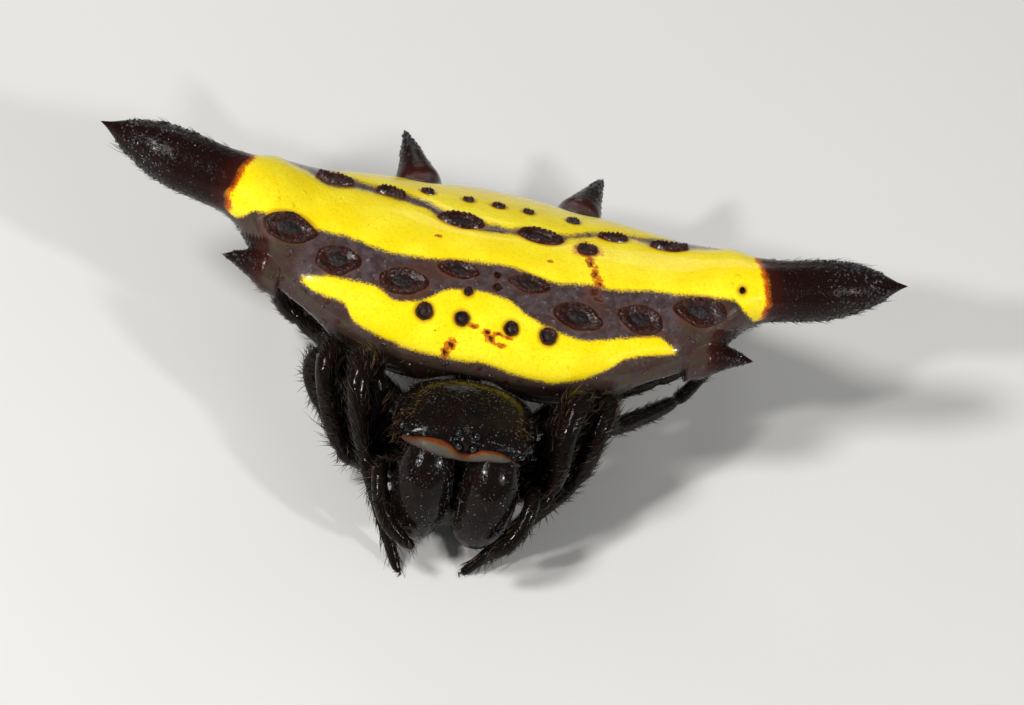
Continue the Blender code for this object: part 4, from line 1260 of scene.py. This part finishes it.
class SPIDER_OT_eyes_and_fangs(bpy.types.Operator):
    """Polished eyes and fangs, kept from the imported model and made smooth"""

    bl_idname = "spider.eyes_and_fangs"
    bl_label = "Eyes and fangs"

    def execute(self, context):
        lens, horn = eye_material(), horn_material()
        for name in (*EYES, *FANGS):
            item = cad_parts[name]
            item.data.materials.clear()
            item.data.materials.append(lens if name in EYES else horn)
            modifier = item.modifiers.new("Weld", "WELD")
            modifier.merge_threshold = MERGE_DISTANCE * MM
            modifier = item.modifiers.new("Smooth surface", "SUBSURF")
            modifier.levels = modifier.render_levels = 2
            only(item)
            bpy.ops.object.shade_smooth()
        return {"FINISHED"}


# Materials

class Nodes:
    """A short way to add nodes to a tree and to link them."""

    def __init__(self, tree):
        self.tree = tree
        tree.nodes.clear()

    def add(self, kind, inputs=(), output=0, **settings):
        """Adds a node. Each input is a name or number with a value or a socket."""
        node = self.tree.nodes.new(kind)
        for name, value in settings.items():
            setattr(node, name, value)
        for name, value in dict(inputs).items():
            if isinstance(value, bpy.types.NodeSocket):
                self.tree.links.new(value, node.inputs[name])
            elif value is not None:
                node.inputs[name].default_value = value
        return node.outputs[output]

    def math(self, operation, first, second=0.0, third=0.0):
        return self.add("ShaderNodeMath", {0: first, 1: second, 2: third}, operation=operation)

    def times(self, first, second):
        return self.math("MULTIPLY", first, second)

    def times_plus(self, first, second, third):
        """The first times the second, plus the third."""
        return self.math("MULTIPLY_ADD", first, second, third)

    def waver(self, value, noise, amount):
        """A value moved up and down by a noise, by at most half the amount."""
        return self.times_plus(self.math("SUBTRACT", noise, 0.5), amount, value)

    def blend(self, first, second, amount, share=1.0):
        """A mix of two colours. Share is the most that the second one covers."""
        first, second = (c if isinstance(c, bpy.types.NodeSocket) else (*c, 1.0) for c in (first, second))
        if share != 1.0:
            amount = self.times(amount, share)
        return self.add("ShaderNodeMix", {0: amount, 6: first, 7: second}, 2, data_type="RGBA")

    def between(self, value, low, high, start=0.0, end=1.0):
        """A smooth rise of a value from low to high."""
        sockets = {0: value, 1: low, 2: high, 3: start, 4: end}
        return self.add("ShaderNodeMapRange", sockets, interpolation_type="SMOOTHSTEP")

    def noise(self, place, scale, detail=3.0, roughness=0.5):
        sockets = {"Vector": place, "Scale": scale, "Detail": detail, "Roughness": roughness}
        return self.add("ShaderNodeTexNoise", sockets)

    def cells(self, place, scale, output="Distance", feature="F1"):
        return self.add("ShaderNodeTexVoronoi", {"Vector": place, "Scale": scale}, output, feature=feature)

    def millimetres(self):
        """Object coordinates in millimetres."""
        place = self.add("ShaderNodeTexCoord", output="Object")
        return self.add("ShaderNodeVectorMath", {0: place, "Scale": 1.0 / MM}, operation="SCALE")

    def value(self, name):
        """A number stored on the mesh."""
        return self.add("ShaderNodeAttribute", output="Fac", attribute_name=name)

    def bump(self, height, depth, strength=1.0):
        """A normal from a height, with the depth given in millimetres."""
        return self.add("ShaderNodeBump", {"Strength": strength, "Distance": depth * MM, "Height": height})

    def shade(self, **values):
        """The surface shader and the output of a material."""
        sockets = {}
        for name, value in values.items():
            sockets[name.replace("_", " ").title().replace("Ior", "IOR")] = value
        shader = self.add("ShaderNodeBsdfPrincipled", sockets)
        output = self.tree.nodes.new("ShaderNodeOutputMaterial")
        self.tree.links.new(shader, output.inputs["Surface"])

    def place_group(self, group, **values):
        """Places a node group with its values and returns its mask and height."""
        node = self.tree.nodes.new("ShaderNodeGroup")
        node.node_tree = group
        for name, value in values.items():
            if isinstance(value, bpy.types.NodeSocket):
                self.tree.links.new(value, node.inputs[name])
            else:
                node.inputs[name].default_value = value
        return node.outputs["Mask"], node.outputs["Height"]


def new_material(name):
    """An empty material with nodes."""
    material = bpy.data.materials.new(name)
    material.use_nodes = True
    return material, Nodes(material.node_tree)


def effect_group(name, numbers, build):
    """A node group that reads a place and named numbers, made once and found again after that."""
    if name in bpy.data.node_groups:
        return bpy.data.node_groups[name]
    group = bpy.data.node_groups.new(name, "ShaderNodeTree")
    nodes = Nodes(group)
    group.interface.new_socket("Place", in_out="INPUT", socket_type="NodeSocketVector")
    for label, default in numbers.items():
        socket = group.interface.new_socket(label, in_out="INPUT", socket_type="NodeSocketFloat")
        socket.default_value = default
    for label in ("Mask", "Height"):
        group.interface.new_socket(label, in_out="OUTPUT", socket_type="NodeSocketFloat")
    entry = group.nodes.new("NodeGroupInput")
    results = build(nodes, {label: entry.outputs[label] for label in ("Place", *numbers)})
    leave = group.nodes.new("NodeGroupOutput")
    for label, socket in zip(("Mask", "Height"), results):
        group.links.new(socket, leave.inputs[label])
    return group


def raised_grains(nodes, place, scale, share, size=0.34):
    """Small raised grains, as on the carapace: a mask and a height. Size is a share of their spacing."""
    def build(inner, given):
        distance = inner.cells(given["Place"], given["Scale"])
        chance = inner.cells(given["Place"], given["Scale"], "Color")
        chance = inner.add("ShaderNodeSeparateColor", {0: chance})
        kept = inner.math("LESS_THAN", chance, given["Share"])
        radius = inner.times(given["Size"], inner.times_plus(chance, 0.5, 0.75))
        bulge = inner.math("SUBTRACT", 1.0, inner.math("DIVIDE", distance, radius))
        bulge = inner.math("MAXIMUM", bulge, 0.0)
        height = inner.times(inner.math("POWER", bulge, 0.6), kept)
        return inner.between(height, 0.05, 0.45), height

    group = effect_group("Raised grains", {"Scale": 10.0, "Share": 0.5, "Size": 0.34}, build)
    return nodes.place_group(group, Place=place, Scale=scale, Share=share, Size=size)


def fine_wrinkles(nodes, place, scale):
    """Fine wrinkles and shallow dimples of cuticle: a mask for its colour and a height."""
    def build(inner, given):
        soft = inner.noise(given["Place"], given["Scale"], 4.0, 0.6)
        dimple = inner.cells(given["Place"], inner.times(given["Scale"], 1.7), feature="SMOOTH_F1")
        return inner.between(soft, 0.35, 0.65), inner.times_plus(dimple, 0.35, soft)

    return nodes.place_group(effect_group("Fine wrinkles", {"Scale": 8.0}, build), Place=place, Scale=scale)


def abdomen_material(context):
    """Yellow bands on purple grey, dark lip and underside, and maroon spines with orange collars."""
    hues = context.scene.spider_colours
    material, nodes = new_material("abdomen_cuticle")
    place = nodes.millimetres()
    band, top, out, share = (nodes.value(name) for name in ("band", "top", "out", "share"))
    pit, stain, skirt = (nodes.value(name) for name in ("pit", "stain", "skirt"))
    mottle, wrinkle_height = fine_wrinkles(nodes, place, 5.0)
    fine = nodes.noise(place, 26.0, 2.0, 0.6)
    broad = nodes.noise(place, 3.5, 3.0, 0.6)
    inside = nodes.between(nodes.waver(nodes.waver(band, fine, 0.30), broad, 0.14), -0.07, 0.08)

    pale = nodes.between(nodes.noise(place, 1.1, 2.0), 0.35, 0.7)
    yellow = nodes.blend(hues.yellow, hues.pale_yellow, pale)
    freckle = nodes.between(nodes.noise(place, 14.0, 3.0, 0.75), 0.50, 0.68)
    yellow = nodes.blend(yellow, (0.84, 0.46, 0.002), freckle, 0.5)
    # Darker gold towards each band's edge: partly the band's own orange edge, partly painted shade in the
    # crease where the raised band drops to the grey ground.
    yellow = nodes.blend(yellow, (0.78, 0.42, 0.02), nodes.between(band, 0.10, -0.02), 0.5)

    ground = nodes.blend(hues.grey, (0.045, 0.028, 0.026), mottle)
    speck = nodes.between(nodes.noise(place, 9.0, 2.0), 0.62, 0.72)
    ground = nodes.blend(ground, (0.13, 0.115, 0.115), speck)
    warm = nodes.between(nodes.noise(place, 0.9, 3.0, 0.6), 0.48, 0.62)
    ground = nodes.blend(ground, (0.072, 0.031, 0.022), warm, 0.7)
    under = nodes.blend((0.046, 0.034, 0.019), (0.046, 0.022, 0.020), nodes.between(broad, 0.40, 0.60))
    ground = nodes.blend(ground, under, skirt, 0.85)
    ground = nodes.blend(hues.lip, ground, nodes.between(top, 0.55, 0.97))
    spots, spot_height = raised_grains(nodes, place, 3.2, 0.55, 0.30)
    ground = nodes.blend(ground, (0.035, 0.008, 0.004), nodes.times(spots, skirt), 0.9)
    colour = nodes.blend(ground, yellow, inside)

    rust = nodes.waver(stain, nodes.noise(place, 8.0, 3.0, 0.7), 1.1)
    rust_tone = nodes.blend((0.10, 0.048, 0.036), (0.55, 0.16, 0.006), inside)
    colour = nodes.blend(colour, rust_tone, nodes.between(rust, 0.40, 0.62))
    colour = nodes.blend(colour, (0.060, 0.014, 0.006), nodes.between(rust, 0.66, 0.84))
    # Orange round each disc, strongest on the yellow: partly the cuticle's own orange edge by the disc,
    # partly painted shade in the crease at the disc's raised rim.
    disc_ring_and_shade = nodes.times(nodes.between(pit, 0.11, 0.0), nodes.times_plus(inside, 0.55, 0.08))
    colour = nodes.blend(colour, (0.36, 0.085, 0.006), disc_ring_and_shade)

    outer = nodes.waver(nodes.waver(out, fine, 0.16), broad, 0.22)
    colour = nodes.blend(colour, hues.orange, nodes.times(nodes.between(outer, -0.13, -0.03), inside))
    spine = nodes.blend((0.032, 0.0055, 0.0032), hues.maroon, nodes.between(outer, 0.0, 0.6))
    colour = nodes.blend(colour, spine, nodes.between(outer, -0.05, 0.09))

    _, grain_height = raised_grains(nodes, place, 10.0, 0.95)
    tip_grains = nodes.times(grain_height, nodes.between(share, 0.05, 0.45, 0.15, 1.0))
    tip_grains = nodes.times(tip_grains, nodes.between(out, 0.0, 0.2))
    height = nodes.times_plus(wrinkle_height, 0.45, nodes.times(tip_grains, 1.5))
    height = nodes.times_plus(spot_height, nodes.times(skirt, 0.8), height)
    height = nodes.times_plus(fine, 0.22, height)
    on_spine = nodes.between(out, 0.0, 0.3)
    rough = nodes.times_plus(on_spine, 0.05, nodes.between(broad, 0.35, 0.65, 0.08, 0.17))
    wet = nodes.times(nodes.times_plus(inside, -0.06, 0.34), nodes.times_plus(on_spine, -0.85, 1.0))
    nodes.shade(
        base_color=colour, roughness=rough, normal=nodes.bump(height, 0.035), specular_ior_level=0.10,
        coat_weight=wet, coat_roughness=0.05)
    return material


def sigillum_material():
    """Dark glossy rim, red-brown where thin, round a dull grey middle."""
    material, nodes = new_material("sigillum_cuticle")
    place = nodes.millimetres()
    mottle, wrinkle_height = fine_wrinkles(nodes, place, 9.0)
    _, grain_height = raised_grains(nodes, place, 15.0, 0.75)
    height = nodes.times_plus(grain_height, 0.5, wrinkle_height)
    out = nodes.waver(nodes.value("share"), nodes.noise(place, 14.0), 0.25)
    middle = nodes.times(nodes.between(out, 0.50, 0.40), nodes.value("broad"))
    colour = nodes.blend((0.009, 0.0022, 0.0013), (0.042, 0.0075, 0.0020), mottle)
    colour = nodes.blend(colour, (0.010, 0.009, 0.0085), middle, 0.85)
    colour = nodes.blend(colour, (0.16, 0.030, 0.004), nodes.between(out, 0.97, 1.05), 0.5)
    rough = nodes.between(middle, 0.0, 1.0, 0.08, 0.40)
    wet = nodes.between(middle, 0.0, 1.0, 0.30, 0.03)
    nodes.shade(
        base_color=colour, roughness=rough, normal=nodes.bump(height, 0.045), specular_ior_level=0.20,
        coat_weight=wet, coat_roughness=0.05)
    return material


def forebody_material(context):
    """Glossy black-brown cuticle, grained on the carapace and smoother on jaws and legs."""
    hues = context.scene.spider_colours
    material, nodes = new_material("body_cuticle")
    place = nodes.millimetres()
    limb, jaw = nodes.value("limb"), nodes.value("jaw")
    mottle, wrinkle_height = fine_wrinkles(nodes, place, 5.0)
    _, grain_height = raised_grains(nodes, place, 7.5, 0.7)
    _, fine_height = raised_grains(nodes, place, 15.0, 0.8)
    plate = nodes.math("SUBTRACT", 1.0, nodes.math("MAXIMUM", limb, jaw))
    colour = nodes.blend(hues.black_brown, (0.0075, 0.0030, 0.0022), mottle)
    olive = nodes.times(nodes.between(nodes.noise(place, 0.9, 2.0), 0.56, 0.72), plate)
    colour = nodes.blend(colour, (0.014, 0.011, 0.004), olive, 0.6)
    height = nodes.times(nodes.times(grain_height, plate), 3.2)
    height = nodes.times_plus(fine_height, nodes.times_plus(limb, 0.4, 0.45), height)
    height = nodes.times_plus(wrinkle_height, 0.5, height)
    rough = nodes.between(mottle, 0.0, 1.0, 0.07, 0.13)
    nodes.shade(
        base_color=colour, roughness=rough, normal=nodes.bump(height, 0.040), specular_ior_level=0.09,
        coat_weight=0.11, coat_roughness=0.05)
    return material


def bead_material(tone):
    """Shining grains with a cool glint, in the colour of the part that they stand on."""
    material, nodes = new_material("bead_cuticle")
    pick = nodes.between(nodes.noise(nodes.millimetres(), 3.0, 2.0), 0.35, 0.65)
    colour = nodes.blend(tone, (0.05, 0.05, 0.065), pick, 0.5)
    nodes.shade(
        base_color=colour, roughness=0.12, specular_ior_level=0.4, specular_tint=(0.75, 0.82, 1.0, 1.0),
        coat_weight=0.8, coat_roughness=0.04)
    return material


def bristle_material(context):
    """Dark bristles, a share of them tan, paler towards their tips."""
    hues = context.scene.spider_colours
    material, nodes = new_material("bristle")
    tan = nodes.between(nodes.value("tone"), 0.80, 0.97)
    colour = nodes.blend(hues.black_brown, (0.20, 0.105, 0.040), tan, 0.85)
    colour = nodes.blend(colour, (0.06, 0.045, 0.035), nodes.value("along"), 0.35)
    nodes.shade(base_color=colour, roughness=0.34, specular_ior_level=0.22)
    return material


def face_band_material(context):
    """Bluish cream skin that turns yellow and then orange towards its upper edge."""
    hues = context.scene.spider_colours
    material, nodes = new_material("face_membrane")
    place = nodes.millimetres()
    mottle, height = fine_wrinkles(nodes, place, 7.0)
    shift = nodes.waver(nodes.value("rise"), nodes.noise(place, 4.0), 0.25)
    colour = nodes.blend((0.05, 0.032, 0.024), hues.cream, nodes.between(shift, 0.02, 0.30))
    colour = nodes.blend(colour, (0.120, 0.064, 0.008), nodes.between(shift, 0.48, 0.70))
    colour = nodes.blend(colour, (0.150, 0.022, 0.0005), nodes.between(shift, 0.66, 0.80))
    colour = nodes.blend(colour, (0.030, 0.007, 0.004), nodes.between(shift, 0.88, 1.0))
    side = nodes.add("ShaderNodeSeparateXYZ", {0: place}, "X")
    middle = nodes.between(nodes.math("ABSOLUTE", nodes.math("ADD", side, 0.04)), 0.30, 0.02)
    ends = nodes.between(nodes.math("ABSOLUTE", side), 0.95, 1.30)
    dim = nodes.math("MAXIMUM", nodes.times(middle, 0.7), nodes.times(ends, 0.85))
    colour = nodes.blend(colour, (0.045, 0.016, 0.009), dim)
    colour = nodes.blend(colour, (0.085, 0.055, 0.038), mottle, 0.3)
    nodes.shade(
        base_color=colour, roughness=0.36, normal=nodes.bump(height, 0.02), coat_weight=0.03,
        coat_roughness=0.2, specular_ior_level=0.08)
    return material


def eye_material():
    """Polished black lens with a cool tint."""
    material, nodes = new_material("eye_lens")
    mottle, _ = fine_wrinkles(nodes, nodes.millimetres(), 3.0)
    colour = nodes.blend((0.003, 0.003, 0.004), (0.006, 0.009, 0.009), mottle)
    nodes.shade(
        base_color=colour, roughness=0.07, coat_weight=0.3, coat_roughness=0.03, specular_ior_level=0.4)
    return material


def horn_material():
    """Glossy dark red-brown horn of fangs and claws."""
    material, nodes = new_material("fang_horn")
    mottle, height = fine_wrinkles(nodes, nodes.millimetres(), 7.0)
    colour = nodes.blend((0.020, 0.005, 0.003), (0.060, 0.015, 0.005), mottle, 0.5)
    nodes.shade(base_color=colour, roughness=0.2, normal=nodes.bump(height, 0.008), coat_weight=0.4)
    return material


def floor_material(context):
    """Plain pale floor with a hardly visible grain."""
    hues = context.scene.spider_colours
    material, nodes = new_material("floor_paint")
    shade = nodes.noise(nodes.millimetres(), 0.12, 3.0)
    colour = nodes.blend(hues.floor, tuple(0.97 * c for c in hues.floor), shade)
    nodes.shade(base_color=colour, roughness=0.75)
    return material


# Stage

class SPIDER_OT_stage(bpy.types.Operator):
    """Plain floor, soft lights and the camera at the photograph's angle"""

    bl_idname = "spider.stage"
    bl_label = "Stage"

    def execute(self, context):
        floor = new_primitive("plane", size=FLOOR_SIZE)
        floor.name = "floor"
        floor.data.materials.append(floor_material(context))
        self.place_camera(context)
        self.place_lights(context)
        world = context.scene.world or bpy.data.worlds.new("studio")
        context.scene.world = world
        world.use_nodes = True
        background = world.node_tree.nodes["Background"]
        background.inputs["Color"].default_value = SKY["color"]
        background.inputs["Strength"].default_value = SKY["strength"]
        context.scene.view_settings.view_transform = "Standard"
        return {"FINISHED"}

    @staticmethod
    def place_camera(context):
        """Sets the camera so that the aim point falls on its pixel of the photograph."""
        azimuth, elevation, roll = (math.radians(CAMERA[name]) for name in ("azimuth", "elevation", "roll"))
        back = Vector((
            math.sin(azimuth) * math.cos(elevation),
            -math.cos(azimuth) * math.cos(elevation),
            math.sin(elevation)))
        right = Vector((math.cos(azimuth), math.sin(azimuth), 0.0))
        up = back.cross(right)
        turned_right = right * math.cos(roll) + up * math.sin(roll)
        turned_up = up * math.cos(roll) - right * math.sin(roll)
        scale = CAMERA["pixels_per_mm"]
        column, row = CAMERA_AIM["pixel"]
        centre = Vector(CAMERA_AIM["point"])
        centre += turned_right * ((0.5 * PICTURE[0] - column) / scale)
        centre += turned_up * ((row - 0.5 * PICTURE[1]) / scale)
        place = (centre + back * CAMERA["distance"]) * MM
        bpy.ops.object.camera_add(location=place)
        camera = context.view_layer.objects.active
        camera.name = "camera"
        turn = Matrix((turned_right, turned_up, back)).transposed()
        camera.rotation_euler = turn.to_euler()
        camera.data.sensor_width = SENSOR_WIDTH
        camera.data.lens = SENSOR_WIDTH * CAMERA["distance"] / (PICTURE[0] / scale)
        camera.data.clip_start = 0.001
        camera.data.clip_end = 10.0
        context.scene.camera = camera

    @staticmethod
    def place_lights(context):
        """Adds the soft lights, turned to the animal."""
        power = context.scene.spider_sizes.key_light
        for name, (place, width, strength) in LIGHTS.items():
            bpy.ops.object.light_add(type="AREA", location=place)
            light = context.view_layer.objects.active
            light.name = f"{name}_light"
            light.data.shape = "DISK"
            light.data.size = width
            light.data.energy = strength * power
            light.rotation_euler = (Vector(LIGHT_TARGET) - Vector(place)).to_track_quat("-Z", "Y").to_euler()


class SPIDER_PT_panel(bpy.types.Panel):
    """Lists the steps that dress the spider"""

    bl_label = "Spiny orb weaver"
    bl_space_type = "VIEW_3D"
    bl_region_type = "UI"
    bl_category = "Spider"

    def draw(self, context):
        for operator in OPERATORS:
            self.layout.operator(operator.bl_idname)
        for group in (context.scene.spider_colours, context.scene.spider_sizes):
            for name in group.__annotations__:
                self.layout.prop(group, name)


OPERATORS = (
    SPIDER_OT_stage,
    SPIDER_OT_abdomen,
    SPIDER_OT_sigilla,
    SPIDER_OT_forebody,
    SPIDER_OT_face_band,
    SPIDER_OT_eyes_and_fangs,
    SPIDER_OT_claws,
    SPIDER_OT_beads,
    SPIDER_OT_coats,
)
CLASSES = (SpiderColours, SpiderSizes, *OPERATORS, SPIDER_PT_panel)


def register():
    for item in CLASSES:
        bpy.utils.register_class(item)
    bpy.types.Scene.spider_colours = bpy.props.PointerProperty(type=SpiderColours)
    bpy.types.Scene.spider_sizes = bpy.props.PointerProperty(type=SpiderSizes)


def unregister():
    del bpy.types.Scene.spider_colours
    del bpy.types.Scene.spider_sizes
    for item in reversed(CLASSES):
        bpy.utils.unregister_class(item)


def main():
    register()
    for operator in OPERATORS:
        category, name = operator.bl_idname.split(".")
        getattr(getattr(bpy.ops, category), name)()
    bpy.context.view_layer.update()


if __name__ == "__main__":
    main()
